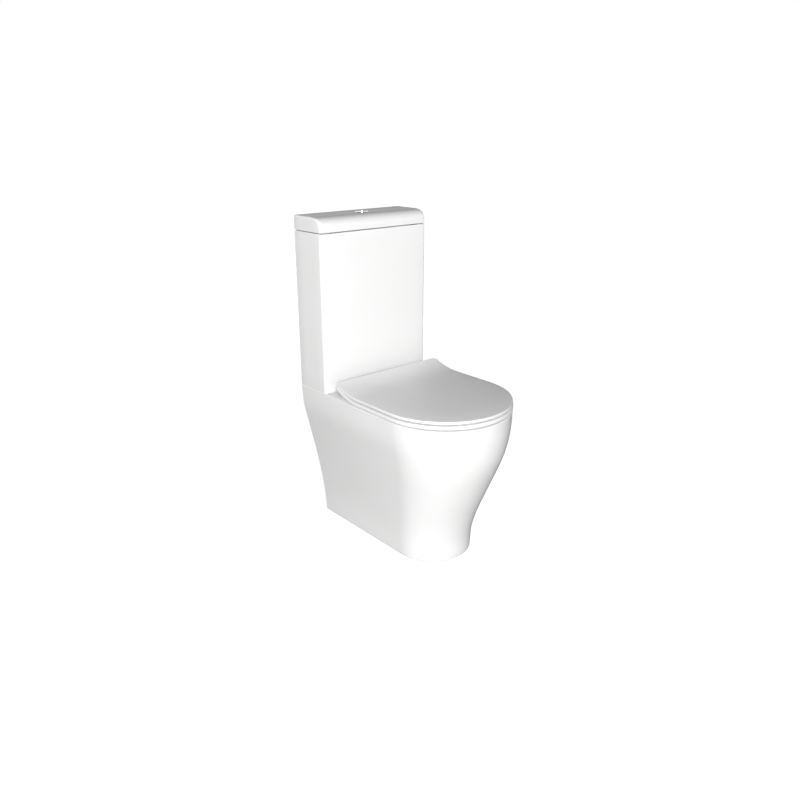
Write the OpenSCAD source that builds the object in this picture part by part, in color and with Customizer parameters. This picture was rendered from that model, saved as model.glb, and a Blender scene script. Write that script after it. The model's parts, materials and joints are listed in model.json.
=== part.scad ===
// Close coupled toilet: a back-to-wall pan, a slim cistern standing on its deck, a thin
// D-shaped seat and cover, a dual flush valve, a bottom-entry fill valve and their fixings.
// +Z is up, -Y is the front, the wall is at +Y, and the origin is on the floor at the middle.
// Lengths are in millimetres. A place called "off the wall" is a distance from the wall plane.

/* [Overall] */
// Distance from the wall to the front of the pan
depth = 568; // [564:1:574]
// Width of the pan at its rim and of the cistern
body_w = 360; // [358:1:362]
// Height of the rim and of the deck
rim_h = 420; // [418:1:424]
// Height of the cistern tank on its own
tank_h = 426; // [400:1:440]

/* [Pan] */
// Thickness of the pan's outer walls
pan_wall = 13; // [11:1:14]
// Thickness of the deck and rim
deck_t = 16; // [14:1:18]
// Thickness of the bowl's wall
bowl_wall_t = 11; // [9:1:12]
// Height of the outlet's centre above the floor
outlet_h = 185; // [180:1:190]
// Outside diameter of the outlet spigot
outlet_d = 102; // [98:1:104]
// Bore of the outlet spigot
outlet_bore = 80; // [76:1:82]

/* [Cistern] */
// Depth of the cistern from the wall to its front
tank_depth = 118; // [114:1:120]
// Thickness of the cistern walls
tank_wall = 9; // [8:1:10]
// Thickness of the cistern floor
tank_floor = 14; // [12:1:15]
// Radius of the cistern's upright front edges
tank_edge = 9; // [6:1:12]
// Gap that the pads leave between tank and lid
lid_gap = 2; // [1:0.5:3]
// Height of the lid
lid_h = 38; // [36:1:40]
// Depth of the lid's rounded front edge
lid_round = 41; // [36:1:44]
// Drop of the lid's rounded front edge
lid_drop = 28; // [24:1:30]

/* [Seat] */
// Half width of the ring
ring_half = 183; // [182:0.5:184]
// Ring thickness
ring_t = 10.5; // [10:0.5:12]
// Cover thickness
cover_t = 8; // [7.5:0.5:9]
// How far the cover sits inside the ring's outline
cover_inset = 2; // [1.5:0.5:3]
// Distance off the wall of the ring's rear edge
ring_rear = 164; // [163:0.5:165]
// Distance off the wall where the flat seat starts to sweep up to its rear lip
sweep_start = 264; // [262:1:266]
// Radius of the seat's rear corners
seat_corner = 10; // [9:0.5:12]
// Distance between the two hinge centres
hinge_spacing = 155; // [150:1:160]

/* [Flush] */
// Diameter of the rim round the two flush buttons
bezel_d = 40; // [38:1:42]
// Travel of a flush button
button_travel = 8; // [6:1:8]
// Distance between the two coupling bolts
coupling_spacing = 156; // [150:1:160]
// Distance of the fill valve from the middle
fill_x = 130; // [126:1:132]

/* [Hidden] */

china = [0.95, 0.95, 0.94];
seat_white = [0.96, 0.96, 0.96];
plastic_white = [0.90, 0.91, 0.92];
plastic_blue = [0.45, 0.58, 0.70];
rubber_black = [0.12, 0.12, 0.12];
steel = [0.72, 0.73, 0.75];
chrome = [0.85, 0.86, 0.88];

$fn = 64;
over = 1;            // how far a cut runs past a face
clear = 0.06;        // radial clearance of a shaft in its hole
slack = 0.25;        // loose clearance between pieces that only pass each other

// Heights
deck_under = rim_h - deck_t;
tank_top = rim_h + tank_h;
tank_inside = rim_h + tank_floor;
lid_under = tank_top + lid_gap;
lid_top = lid_under + lid_h;
lid_skin = lid_top - tank_wall;

// Distances off the wall, turned into Y
wall_y = depth / 2;
function off(d) = wall_y - d;
tank_mid = tank_depth / 2;

// ---------------------------------------------------------------- shared functions

function mix(a, b, t) = a + (b - a) * t;

// A smooth curve through a table whose first column rises; k picks the column to read
function row_at(rows, v, i = 0) = i >= len(rows) - 2 || v < rows[i + 1][0] ? i : row_at(rows, v, i + 1);
function tangent(rows, i, k) =
    let (a = max(0, i - 1), b = min(len(rows) - 1, i + 1))
    (rows[b][k] - rows[a][k]) / (rows[b][0] - rows[a][0]);
function curve(rows, v, k) =
    let (i = row_at(rows, v), h = rows[i + 1][0] - rows[i][0], t = (v - rows[i][0]) / h)
    rows[i][k] * (2 * t * t * t - 3 * t * t + 1)
    + tangent(rows, i, k) * h * (t * t * t - 2 * t * t + t)
    + rows[i + 1][k] * (3 * t * t - 2 * t * t * t)
    + tangent(rows, i + 1, k) * h * (t * t * t - t * t);

// A closed skin through rings of points, lowest ring first. Every ring has the same even
// number of points, is symmetric about X = 0, and is closed at both ends by strips that
// join each point to its mirror image.
module skin(rings) {
    n = len(rings[0]);
    m = len(rings);
    last = (m - 1) * n;
    sides = [for (k = [0:m - 2], i = [0:n - 1])
        let (j = (i + 1) % n, a = k * n, b = (k + 1) * n)
        each [[a + j, b + j, b + i], [a + j, b + i, a + i]]];
    lids = [for (i = [0:n / 2 - 2])
        each [[last + i, last + i + 1, last + n - 2 - i], [last + i, last + n - 2 - i, last + n - 1 - i],
              [n - 1 - i, n - 2 - i, i + 1], [n - 1 - i, i + 1, i]]];
    polyhedron(points = [for (r = rings) each r], faces = concat(sides, lids), convexity = 8);
}

// Parallel sides from the wall and a half-round front
function d_ring(half, reach, back, z, steps) = concat(
    [[half, off(back), z]],
    [for (i = [0:steps]) let (a = -180 * i / steps)
        [half * cos(a), off(reach - half) + half * sin(a), z]],
    [[-half, off(back), z]]);

// A rounded oval, fuller than an ellipse, between two distances off the wall
oval_power = 2 / 2.3;
oval_middle = 0.46;
function fuller(v) = sign(v) * pow(abs(v), oval_power);
function oval_ring(half, front, rear, z, count) =
    let (middle = mix(rear, front, oval_middle))
    [for (i = [0:count - 1]) let (a = 90 - (i + 0.5) * 360 / count)
        [half * fuller(cos(a)),
         off(middle) + fuller(sin(a)) * (a > 0 || a < -180 ? middle - rear : front - middle), z]];

// A round tube's skin along a path in the middle plane: rows of distance off the wall, height, radius
function tube_ring(path, i, extra, count) =
    let (a = max(0, i - 1), b = min(len(path) - 1, i + 1),
         ty = -(path[b][0] - path[a][0]), tz = path[b][1] - path[a][1], s = norm([ty, tz]),
         r = path[i][2] + extra)
    [for (k = [0:count - 1]) let (f = 90 - (k + 0.5) * 360 / count)
        [r * cos(f), off(path[i][0]) + r * sin(f) * tz / s, path[i][1] - r * sin(f) * ty / s]];

// A plan with rounded front corners, between two distances off the wall
corner_steps = 8;
function corner(x, y, r, from) = [for (i = [0:corner_steps])
    let (a = from + 90 * i / corner_steps) [x + r * cos(a), y + r * sin(a)]];
module plan(half, rear, front, r) {
    polygon(concat([[half, off(rear)]],
                   [for (p = corner(half - r, -off(front) - r, r, 0)) [p[0], -p[1]]],
                   [for (p = corner(-half + r, -off(front) - r, r, 90)) [p[0], -p[1]]],
                   [[-half, off(rear)]]));
}

// A cylinder along X, centred on x
module rod_x(r, length, x, y, z) {
    translate([x - length / 2, y, z]) rotate([0, 90, 0]) cylinder(r = r, h = length);
}

// A cylinder along Y, centred on y
module rod_y(r, length, x, y, z) {
    translate([x, y + length / 2, z]) rotate([90, 0, 0]) cylinder(r = r, h = length);
}

// A cylinder along Y in the middle plane, between two distances off the wall
module rod_off(r, near, far, z) {
    rod_y(r, far - near, 0, off((near + far) / 2), z);
}

// An upright ring
module washer(r, bore, t) {
    difference() {
        cylinder(r = r, h = t);
        translate([0, 0, -over]) cylinder(r = bore, h = t + 2 * over);
    }
}

// A hexagonal nut
module hex_nut(r, bore, t) {
    difference() {
        cylinder(r = r, h = t, $fn = 6);
        translate([0, 0, -over]) cylinder(r = bore, h = t + 2 * over);
    }
}

// A wing nut, its top face at z = 0
wing_hub_r = 8;
wing_hub_h = 10;
wing_span = 36;
wing_t = 3;
module wing_nut(bore) {
    difference() {
        union() {
            translate([0, 0, -wing_hub_h]) cylinder(r = wing_hub_r, h = wing_hub_h);
            translate([-wing_span / 2, -wing_t / 2, -wing_hub_h - 6]) cube([wing_span, wing_t, 14]);
        }
        translate([0, 0, -wing_hub_h - 10]) cylinder(r = bore, h = wing_hub_h + 12);
    }
}

// One copy on each side
module both(x, d) {
    for (side = [-1, 1]) translate([side * x, off(d), 0]) children();
}

// ---------------------------------------------------------------- pan

// Height, half width at the wall and reach off the wall, for a pan 420 high, 360 wide and 568 deep
pan_rows = [[0, 109.5, 459], [60, 114, 463], [120, 122.5, 480], [200, 138, 513],
            [300, 161.5, 553], [360, 175.5, 565], [420, 180, 568]];
function pan_half(z) = curve(pan_rows, z * 420 / rim_h, 1) * body_w / 360;
function pan_reach(z) = curve(pan_rows, z * 420 / rim_h, 2) + depth - 568;
pan_levels = [0, 30, 60, 90, 120, 160, 200, 240, 280, 315, 345, 370, 395];

module pan_outside() {
    skin([for (z = concat(pan_levels, rim_h)) d_ring(pan_half(z), pan_reach(z), 0, z, 41)]);
}

// The space under the deck, open to the floor and to the wall
module pan_hollow() {
    skin([for (z = [-over, 60, 120, 180, 240, 300, 350, deck_under])
        d_ring(pan_half(max(0, z)) - pan_wall, pan_reach(max(0, z)) - pan_wall, -10, z, 25)]);
}

// Height, half width, and the front and rear of the bowl off the wall
bowl_rows = [[62, 34, 322, 258], [95, 38, 332, 252], [140, 46, 352, 246], [190, 62, 388, 243],
             [250, 88, 438, 240], [310, 112, 484, 236], [365, 127, 510, 231], [421, 134, 522, 226]];
bowl_steps = 36;
function bowl_ring(z, extra) = oval_ring(curve(bowl_rows, z, 1) + extra, curve(bowl_rows, z, 2) + extra,
                                         curve(bowl_rows, z, 3) - extra, z, bowl_steps);

module bowl_cavity() {
    skin([for (z = [62, 80, 110, 145, 185, 225, 265, 305, 345, 385, rim_h + over]) bowl_ring(z, 0)]);
}

module bowl_wall() {
    skin(concat(
        [[for (p = bowl_ring(62, bowl_wall_t - 3)) [p[0], p[1], 62 - bowl_wall_t]]],
        [for (z = [70, 110, 145, 185, 225, 265, 305, 345, 385, deck_under + deck_t / 2])
            bowl_ring(z, bowl_wall_t)]));
}

// The trapway: under the dip, up over the weir and down to the outlet
trap_path = [[302, 95, 29], [264, 95, 30], [236, 101, 31], [215, 120, 31], [202, 150, 31],
             [188, 182, 31], [162, 206, 32], [134, 211, 34], [110, 203, 37],
             [92, outlet_h + 6, outlet_bore / 2 - 1], [78, outlet_h + 1, outlet_bore / 2],
             [64, outlet_h, outlet_bore / 2]];
trap_sides = 24;
trap_wall = 9;
module trap_skin(extra) {
    skin([for (i = [0:len(trap_path) - 1]) tube_ring(trap_path, i, extra, trap_sides)]);
}
outlet_mouth = 4;
outlet_start = 72;

// The way for the flush water: down from the cistern and forward to the back of the bowl
recess_r = 50;
recess_wall = 7;
recess_floor = rim_h - 28;
channel_h = 352;
channel_r = 20;
channel_from = 28;
channel_to = 234;
down_r = 24;
flush_wall = 11;
bolt_hole_r = 6.5;
inlet_hole_r = 21;

module deck_hole(r) {
    translate([0, 0, deck_under - over]) cylinder(r = r, h = deck_t + 2 * over);
}

module pan() color(china) {
    difference() {
        union() {
            difference() {
                pan_outside();
                pan_hollow();
            }
            bowl_wall();
            trap_skin(trap_wall);
            rod_off(outlet_d / 2, outlet_mouth, outlet_start, outlet_h);
            translate([0, off(tank_mid), recess_floor - flush_wall])
                cylinder(r = recess_r + recess_wall, h = deck_under + over - recess_floor + flush_wall);
            translate([0, off(tank_mid), channel_h])
                cylinder(r = down_r + flush_wall, h = recess_floor - channel_h);
            rod_off(channel_r + flush_wall, channel_from, channel_to, channel_h);
        }
        bowl_cavity();
        trap_skin(0);
        rod_off(outlet_bore / 2, outlet_mouth - over, outlet_start - 6, outlet_h);
        translate([0, off(tank_mid), recess_floor]) cylinder(r = recess_r, h = rim_h);
        translate([0, off(tank_mid), channel_h]) cylinder(r = down_r, h = rim_h);
        rod_off(channel_r, tank_mid, channel_to + 25, channel_h);
        both(coupling_spacing / 2, tank_mid) deck_hole(bolt_hole_r);
        both(hinge_spacing / 2, hinge_off) deck_hole(bolt_hole_r);
        translate([fill_x, off(tank_mid), 0]) deck_hole(inlet_hole_r);
    }
}

// ---------------------------------------------------------------- cistern

wall_hole_r = 4;
wall_hole_x = 110;
wall_hole_z = 790;

module floor_hole(r) {
    translate([0, 0, rim_h - over]) cylinder(r = r, h = tank_floor + 2 * over);
}

module cistern_tank() color(china) {
    difference() {
        translate([0, 0, rim_h]) linear_extrude(tank_h) plan(body_w / 2, 0, tank_depth, tank_edge);
        translate([0, 0, tank_inside]) linear_extrude(tank_h)
            plan(body_w / 2 - tank_wall, tank_wall, tank_depth - tank_wall, tank_edge - 3);
        translate([0, off(tank_mid), 0]) floor_hole(31);
        both(coupling_spacing / 2, tank_mid) floor_hole(bolt_hole_r);
        translate([fill_x, off(tank_mid), 0]) floor_hole(12);
        for (side = [-1, 1])
            rod_y(wall_hole_r, tank_wall + 2 * over, side * wall_hole_x, off(tank_wall / 2), wall_hole_z);
    }
}

// The lid's end profile: flat on top, a long quarter ellipse down to its front face
module lid_profile(rear, front, bottom, top, run, drop) {
    polygon(concat([[off(rear), bottom], [off(rear), top]],
        [for (i = [0:14]) let (a = 90 * i / 14)
            [off(front - run) - run * sin(a), top - drop + drop * cos(a)]],
        [[off(front), bottom]]));
}

module lid_bar(half) {
    translate([-half, 0, 0]) rotate([90, 0, 90]) linear_extrude(2 * half) children();
}

lid_hole_r = 19.5;
boss_r = 30;
boss_under = lid_skin - 2.5;
module cistern_lid() color(china) {
    difference() {
        union() {
            difference() {
                intersection() {
                    lid_bar(body_w / 2) lid_profile(0, tank_depth, lid_under, lid_top, lid_round, lid_drop);
                    translate([0, 0, lid_under]) linear_extrude(lid_h)
                        plan(body_w / 2, 0, tank_depth, tank_edge);
                }
                lid_bar(body_w / 2 - tank_wall)
                    lid_profile(tank_wall, tank_depth - tank_wall, lid_under - over, lid_skin,
                                lid_round - tank_wall, lid_drop - 2);
            }
            translate([0, off(tank_mid), boss_under]) cylinder(r = boss_r, h = lid_skin + over - boss_under);
        }
        translate([0, off(tank_mid), boss_under - over])
            cylinder(r = lid_hole_r, h = lid_top - boss_under + 2 * over);
    }
}

pad_x = 140;
module lid_pads() color(rubber_black) {
    for (side = [-1, 1], d = [tank_wall / 2, tank_depth - tank_wall / 2])
        translate([side * pad_x - 10, off(d) - 3, tank_top]) cube([20, 6, lid_gap]);
}

// ---------------------------------------------------------------- flush buttons

bezel_r = bezel_d / 2;
bezel_barrel_r = 19;
bezel_bore = 17.6;
bezel_floor = lid_top - 25;
bezel_rim = 1.6;
button_r = bezel_bore - 0.08;
button_split = 0.5;
button_under = lid_top - 4;
rod_side = 8.5;
rod_r = 3;

module button_bezel() color(chrome) {
    difference() {
        translate([0, off(tank_mid), 0]) union() {
            translate([0, 0, lid_top]) cylinder(r1 = bezel_r, r2 = bezel_r - 1, h = bezel_rim);
            translate([0, 0, bezel_floor]) cylinder(r = bezel_barrel_r, h = lid_top - bezel_floor);
        }
        translate([0, off(tank_mid), bezel_floor + 2]) cylinder(r = bezel_bore, h = lid_h);
        for (side = [-1, 1]) translate([side * rod_side, off(tank_mid), bezel_floor - over])
            cylinder(r = rod_r + clear, h = 2 + 2 * over);
    }
}

module button_nut() color(plastic_white) {
    translate([0, off(tank_mid), boss_under - 10]) hex_nut(27, bezel_barrel_r + clear, 10);
}

// Half of a shallow dome; side is +1 for the full flush and -1 for the half flush
dome_rise = 1;
dome_top = lid_top + bezel_rim + 0.4;
module half_button(side) {
    translate([0, off(tank_mid), 0]) intersection() {
        union() {
            translate([0, 0, button_under]) cylinder(r = button_r, h = dome_top - dome_rise - button_under);
            translate([0, 0, dome_top - dome_rise]) cylinder(r1 = button_r, r2 = button_r / 2, h = dome_rise);
        }
        translate([side > 0 ? button_split : -button_r - button_split, -button_r, button_under])
            cube([button_r, 2 * button_r, 10]);
    }
}
module full_flush_button() color(chrome) half_button(1);
module half_flush_button() color(chrome) half_button(-1);

pivot_h = 728;
pad_r = 3;
rod_gap = 0.3;
rod_bottom = pivot_h + pad_r + rod_gap;
module push_rod(side) {
    translate([side * rod_side, off(tank_mid), 0]) union() {
        translate([0, 0, rod_bottom]) cylinder(r = rod_r, h = button_under - rod_bottom);
        translate([0, 0, rod_bottom]) cylinder(r = 4.5, h = 12);
    }
}
module full_push_rod() color(plastic_white) push_rod(1);
module half_push_rod() color(plastic_white) push_rod(-1);

// A compression spring round a push rod, from the bezel's floor to the button
coil_r = 5.4;
wire_r = 0.55;
coil_turns = 6;
turn_steps = 14;
wire_sides = 6;
spring_from = bezel_floor + 2 + 2 * wire_r;
spring_to = button_under - 2 * wire_r;
module button_spring(side) {
    steps = coil_turns * turn_steps;
    points = [for (i = [0:steps], k = [0:wire_sides - 1])
        let (a = 360 * i / turn_steps, b = 360 * k / wire_sides, r = coil_r + wire_r * cos(b))
        [r * cos(a), r * sin(a), mix(spring_from, spring_to, i / steps) + wire_r * sin(b)]];
    walls = [for (i = [0:steps - 1], k = [0:wire_sides - 1])
        let (j = (k + 1) % wire_sides, a = i * wire_sides, b = a + wire_sides)
        each [[a + k, b + k, b + j], [a + k, b + j, a + j]]];
    ends = [[for (k = [0:wire_sides - 1]) k],
            [for (k = [0:wire_sides - 1]) steps * wire_sides + wire_sides - 1 - k]];
    translate([side * rod_side, off(tank_mid), 0])
        polyhedron(points = points, faces = concat(walls, ends), convexity = 10);
}
module full_button_spring() color(steel) button_spring(1);
module half_button_spring() color(steel) button_spring(-1);

// ---------------------------------------------------------------- flush valve

tail_r = 29.5;
tail_end = recess_floor + 6;
base_flange_r = 44;
base_under = tank_inside + 3;
base_top = base_under + 6;
seat_lip_h = 5;
seal_under = base_top + seat_lip_h;
tube_r = 15;
tube_bore = 12.5;
tube_top = 698;

module valve_base() color(plastic_white) {
    translate([0, off(tank_mid), 0]) difference() {
        union() {
            translate([0, 0, tail_end]) cylinder(r = tail_r, h = base_under - tail_end);
            translate([0, 0, base_under]) cylinder(r = base_flange_r, h = 6);
            translate([0, 0, base_top]) cylinder(r = 28, h = seat_lip_h);
        }
        translate([0, 0, tail_end - over]) cylinder(r = 25, h = seal_under - tail_end + 2 * over);
    }
}

module valve_base_washer() color(rubber_black) {
    translate([0, off(tank_mid), tank_inside]) washer(40, tail_r + 0.2, 3);
}

backnut_h = 14;
module valve_backnut() color(plastic_white) {
    translate([0, off(tank_mid), rim_h - backnut_h]) hex_nut(41, tail_r + clear, backnut_h);
}

module coupling_gasket() color(rubber_black) {
    translate([0, off(tank_mid), 0]) difference() {
        translate([0, 0, recess_floor]) cylinder(r = recess_r - slack, h = rim_h - recess_floor);
        translate([0, 0, rim_h - backnut_h - slack]) cylinder(r = 41 + slack, h = backnut_h + over);
        translate([0, 0, recess_floor - over]) cylinder(r = tail_r + slack, h = 40);
    }
}

post_at = 28;
post_t = 5;
head_h = 640;
head_t = 7;
pivot_x = 26;
clevis_gap = 5.2;
clevis_t = 3.6;
pin_r = 2.5;

module valve_tower() color(plastic_blue) {
    translate([0, off(tank_mid), 0]) difference() {
        union() {
            for (x = [-1, 1], y = [-1, 1])
                translate([x * post_at - post_t / 2, y * post_at - post_t / 2, base_top])
                    cube([post_t, post_t, head_h + over - base_top]);
            translate([0, 0, base_top + 70]) washer(43.5, 37.5, 6);
            translate([0, 0, head_h]) cylinder(r = base_flange_r, h = head_t);
            for (x = [-1, 1], y = [-1, 1])
                translate([x * pivot_x - 6, y > 0 ? clevis_gap : -clevis_gap - clevis_t, head_h])
                    cube([12, clevis_t, pivot_h + 8 - head_h]);
        }
        translate([0, 0, head_h - over]) cylinder(r = tube_r + clear, h = head_t + 2 * over);
        for (x = [-1, 1]) rod_y(pin_r + clear, 30, x * pivot_x, 0, pivot_h);
    }
}

module overflow_tube() color(plastic_white) {
    translate([0, off(tank_mid), 0]) difference() {
        translate([0, 0, seal_under + 4]) cylinder(r = tube_r, h = tube_top - seal_under - 4);
        translate([0, 0, seal_under]) cylinder(r = tube_bore, h = tube_top - seal_under + over);
    }
}

module flush_seal() color(rubber_black) {
    translate([0, off(tank_mid), seal_under]) washer(33, tube_bore, 4);
}

// The yoke clamps on the tube and gives each lever a hook to lift by
lever_in = pivot_x - rod_side;
lever_out = 34;
tip_x = pivot_x + lever_out;
hook_gap = 0.8;
yoke_h = 656;
yoke_t = 6;
hook_t = 4;
strap_x = tip_x + 4.5;
strap_t = 3;
lost_motion = 16.5;
module yoke_side(side, hook) {
    rotate([0, 0, side > 0 ? 0 : 180]) {
        translate([tube_r - 1, -4, yoke_h]) cube([strap_x + strap_t - tube_r + 1, 8, yoke_t]);
        translate([strap_x, -4, yoke_h]) cube([strap_t, 8, hook + hook_t - yoke_h]);
        translate([tip_x - 6, -4, hook]) cube([strap_x + strap_t - tip_x + 6, 8, hook_t]);
    }
}
module lift_yoke() color(plastic_blue) {
    translate([0, off(tank_mid), 0]) difference() {
        union() {
            translate([0, 0, yoke_h]) cylinder(r = 18.5, h = yoke_t);
            yoke_side(1, pivot_h + pad_r + hook_gap);
            yoke_side(-1, pivot_h + pad_r + lost_motion);
        }
        translate([0, 0, yoke_h - over]) cylinder(r = tube_r, h = yoke_t + 2 * over);
    }
}

// A rocking lever: its inner pad is under the push rod and its outer tip is under the hook
module rocker(side) {
    translate([side * pivot_x, off(tank_mid), pivot_h]) rotate([0, 0, side > 0 ? 0 : 180]) difference() {
        union() {
            translate([-lever_in, -4, -2]) cube([lever_in + lever_out, 8, 4]);
            rod_y(pad_r, 8, -lever_in, 0, 0);
            rod_y(pad_r, 8, lever_out, 0, 0);
            rod_y(5, 9.6, 0, 0, 0);
        }
        rod_y(pin_r + clear, 30, 0, 0, 0);
    }
}
module full_flush_lever() color(plastic_white) rocker(1);
module half_flush_lever() color(plastic_white) rocker(-1);

module lever_pins() color(steel) {
    for (side = [-1, 1])
        rod_y(pin_r, 2 * (clevis_gap + clevis_t) + 2, side * pivot_x, off(tank_mid), pivot_h);
}

// ---------------------------------------------------------------- coupling bolts

bolt_r = 4;
seal_h = 7;
module coupling_bolts() color(steel) {
    both(coupling_spacing / 2, tank_mid) {
        translate([0, 0, tank_inside + seal_h]) cylinder(r = 9, h = 4);
        translate([0, 0, 356]) cylinder(r = bolt_r, h = tank_inside + seal_h - 356);
    }
}
module coupling_bolt_seals() color(rubber_black) {
    both(coupling_spacing / 2, tank_mid) translate([0, 0, tank_inside]) difference() {
        cylinder(r1 = 12, r2 = 10, h = seal_h);
        translate([0, 0, -over]) cylinder(r = bolt_r + clear, h = seal_h + 2 * over);
    }
}
module coupling_deck_washers() color(rubber_black) {
    both(coupling_spacing / 2, tank_mid) translate([0, 0, deck_under - 4]) washer(14, bolt_r + clear, 4);
}
module coupling_washers() color(steel) {
    both(coupling_spacing / 2, tank_mid) translate([0, 0, deck_under - 6]) washer(12, bolt_r + clear, 2);
}
module coupling_wing_nuts() color(steel) {
    both(coupling_spacing / 2, tank_mid) translate([0, 0, deck_under - 6]) wing_nut(bolt_r + clear);
}

// ---------------------------------------------------------------- fill valve

shank_r = 11;
shank_end = 403;
tail_thread_r = 10.4;
tail_thread_end = 372;
tail_thread_top = 401;
relief_r = 9.8;
riser_r = 12;
riser_top = 736;
head_top = 766;
float_r = 27;
float_low = 560;
float_size = 62;
float_travel = 16;
arm_length = 40;
arm_tilt = 11.5;
arm_pivot_x = 142;
arm_pivot_h = 782;
arm_pin_r = 2;
link_x = arm_pivot_x - arm_length;
link_pin_h = arm_pivot_h - arm_length * sin(arm_tilt);

module fill_valve_body() color(plastic_white) {
    translate([fill_x, off(tank_mid), 0]) difference() {
        union() {
            translate([0, 0, tail_thread_end])
                cylinder(r = tail_thread_r, h = tail_thread_top - tail_thread_end);
            translate([0, 0, tail_thread_top]) cylinder(r = relief_r, h = shank_end - tail_thread_top);
            translate([0, 0, shank_end]) cylinder(r = shank_r, h = tank_inside + 3 - shank_end);
            translate([0, 0, tank_inside + 3]) cylinder(r = 18, h = 5);
            translate([0, 0, tank_inside + 8]) cylinder(r = riser_r, h = riser_top - tank_inside - 8);
            translate([0, 0, float_low - 8]) cylinder(r = riser_r + 3, h = 4);
        }
        translate([0, 0, tail_thread_end - over]) cylinder(r = 7, h = riser_top - tail_thread_end + 2 * over);
    }
}
module fill_valve_washer() color(rubber_black) {
    translate([fill_x, off(tank_mid), tank_inside]) washer(17, shank_r + clear, 3);
}
module fill_valve_locknut() color(plastic_white) {
    translate([fill_x, off(tank_mid), rim_h - 12]) hex_nut(18, shank_r + clear, 12);
}
module fill_valve_head() color(plastic_blue) {
    translate([fill_x, off(tank_mid), 0]) difference() {
        union() {
            translate([0, 0, riser_top]) cylinder(r = 17, h = head_top - riser_top);
            for (y = [-1, 1])
                translate([arm_pivot_x - fill_x - 6, y > 0 ? clevis_gap : -clevis_gap - 2.6, head_top - over])
                    cube([12, 2.6, arm_pivot_h + 6 - head_top + over]);
        }
        translate([0, 0, riser_top - over]) cylinder(r = 7, h = 20);
        rod_y(arm_pin_r + clear, 30, arm_pivot_x - fill_x, 0, arm_pivot_h);
    }
}
module fill_float() color(plastic_white) {
    translate([fill_x, off(tank_mid), float_low]) difference() {
        union() {
            cylinder(r = float_r, h = float_size);
            translate([link_x - fill_x - 4, -4, float_size - 8]) cube([10, 8, 8]);
        }
        translate([0, 0, -over]) cylinder(r = riser_r + clear, h = float_size + 2 * over);
    }
}
// The link stands on the float's lug and carries a slotted eye for the arm's pin
eye_len = 9;
module float_link_rod() color(plastic_blue) {
    translate([link_x, off(tank_mid), 0]) difference() {
        union() {
            translate([-1.5, -1.5, float_low + float_size]) cube([3, 3, link_pin_h - float_low - float_size]);
            translate([-eye_len / 2 - 2, -1.5, link_pin_h - 6]) cube([eye_len + 4, 3, 12]);
        }
        translate([-eye_len / 2, -5, link_pin_h - arm_pin_r - 0.4]) cube([eye_len, 10, 2 * arm_pin_r + 0.8]);
    }
}
// The arm: two cheeks either side of the link's eye, joined by the pin and at the pivot
module float_arm() color(plastic_white) {
    translate([arm_pivot_x, off(tank_mid), arm_pivot_h]) rotate([0, -arm_tilt, 0]) difference() {
        union() {
            for (y = [-1, 1])
                translate([-arm_length - 4, y > 0 ? 2.2 : -4.6, -3]) cube([arm_length + 4, 2.4, 6]);
            translate([-22, -4.6, -3]) cube([18, 9.2, 6]);
            rod_y(arm_pin_r, 9.2, -arm_length, 0, 0);
            rod_y(4.5, 9.2, 0, 0, 0);
        }
        rod_y(arm_pin_r + clear, 30, 0, 0, 0);
    }
}
module float_arm_pin() color(steel) {
    rod_y(arm_pin_r, 2 * (clevis_gap + 2.6) + 2, arm_pivot_x, off(tank_mid), arm_pivot_h);
}

// ---------------------------------------------------------------- seat

seat_gap = 3;
ring_under = rim_h + seat_gap;
ring_over = ring_under + ring_t;
cover_under = ring_over + seat_gap;
cover_over = cover_under + cover_t;
hinge_off = 160;
hinge_h = 444;

// How far each face of the seat rises at its rear lip
under_rise = 27;
ring_top_rise = 24;
cover_under_rise = 23;
cover_rise = 21;
sweep_power = 2.2;
function sweep(d) = pow(max(0, sweep_start - d) / (sweep_start - ring_rear), sweep_power);

// Outline of the seat: right rear corner, right side, half-round front, and back on the left
sweep_steps = 8;
front_steps = 37;
function seat_half(half, front, rear, r) = concat(
    [for (i = [0:4]) let (a = 90 - 90 * i / 4) [half - r + r * cos(a), rear + r - r * sin(a)]],
    [for (i = [1:sweep_steps]) [half, mix(rear + r, sweep_start, i / sweep_steps)]],
    [for (i = [0:floor(front_steps / 2)]) let (a = 180 * i / front_steps)
        [half * cos(a), front - half + half * sin(a)]]);
function seat_ring_at(half, front, rear, r, base, top, base_rise, top_rise, share) =
    let (side = seat_half(half, front, rear, r), n = len(side),
         all = concat(side, [for (i = [1:n]) [-side[n - i][0], side[n - i][1]]]))
    [for (p = all) [p[0], off(p[1]),
        mix(base + base_rise * sweep(p[1]), top + top_rise * sweep(p[1]), share)]];
// Each row is how far the edge is drawn in, and its height as a share of the thickness
edge_rows = [[2, 0], [0.5, 0.12], [0, 0.35], [0, 0.7], [0.6, 0.93], [2, 1]];
module seat_slab(half, front, rear, base, top, base_rise, top_rise) {
    skin([for (e = edge_rows)
        seat_ring_at(half - e[0], front - e[0], rear + e[0], seat_corner - e[0],
                     base, top, base_rise, top_rise, e[1])]);
}

ear_x = 58;
ear_t = 12;
block_x = hinge_spacing / 2;
block_t = 22.5;
knuckle_x = 98;
knuckle_t = 12;
barrel_r = 6;
hinge_pin_r = 3;
notch_from = ear_x - ear_t / 2 - 2;
notch_to = knuckle_x - knuckle_t / 2 - 0.5;
notch_off = 180;
web_reach = 14;

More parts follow.
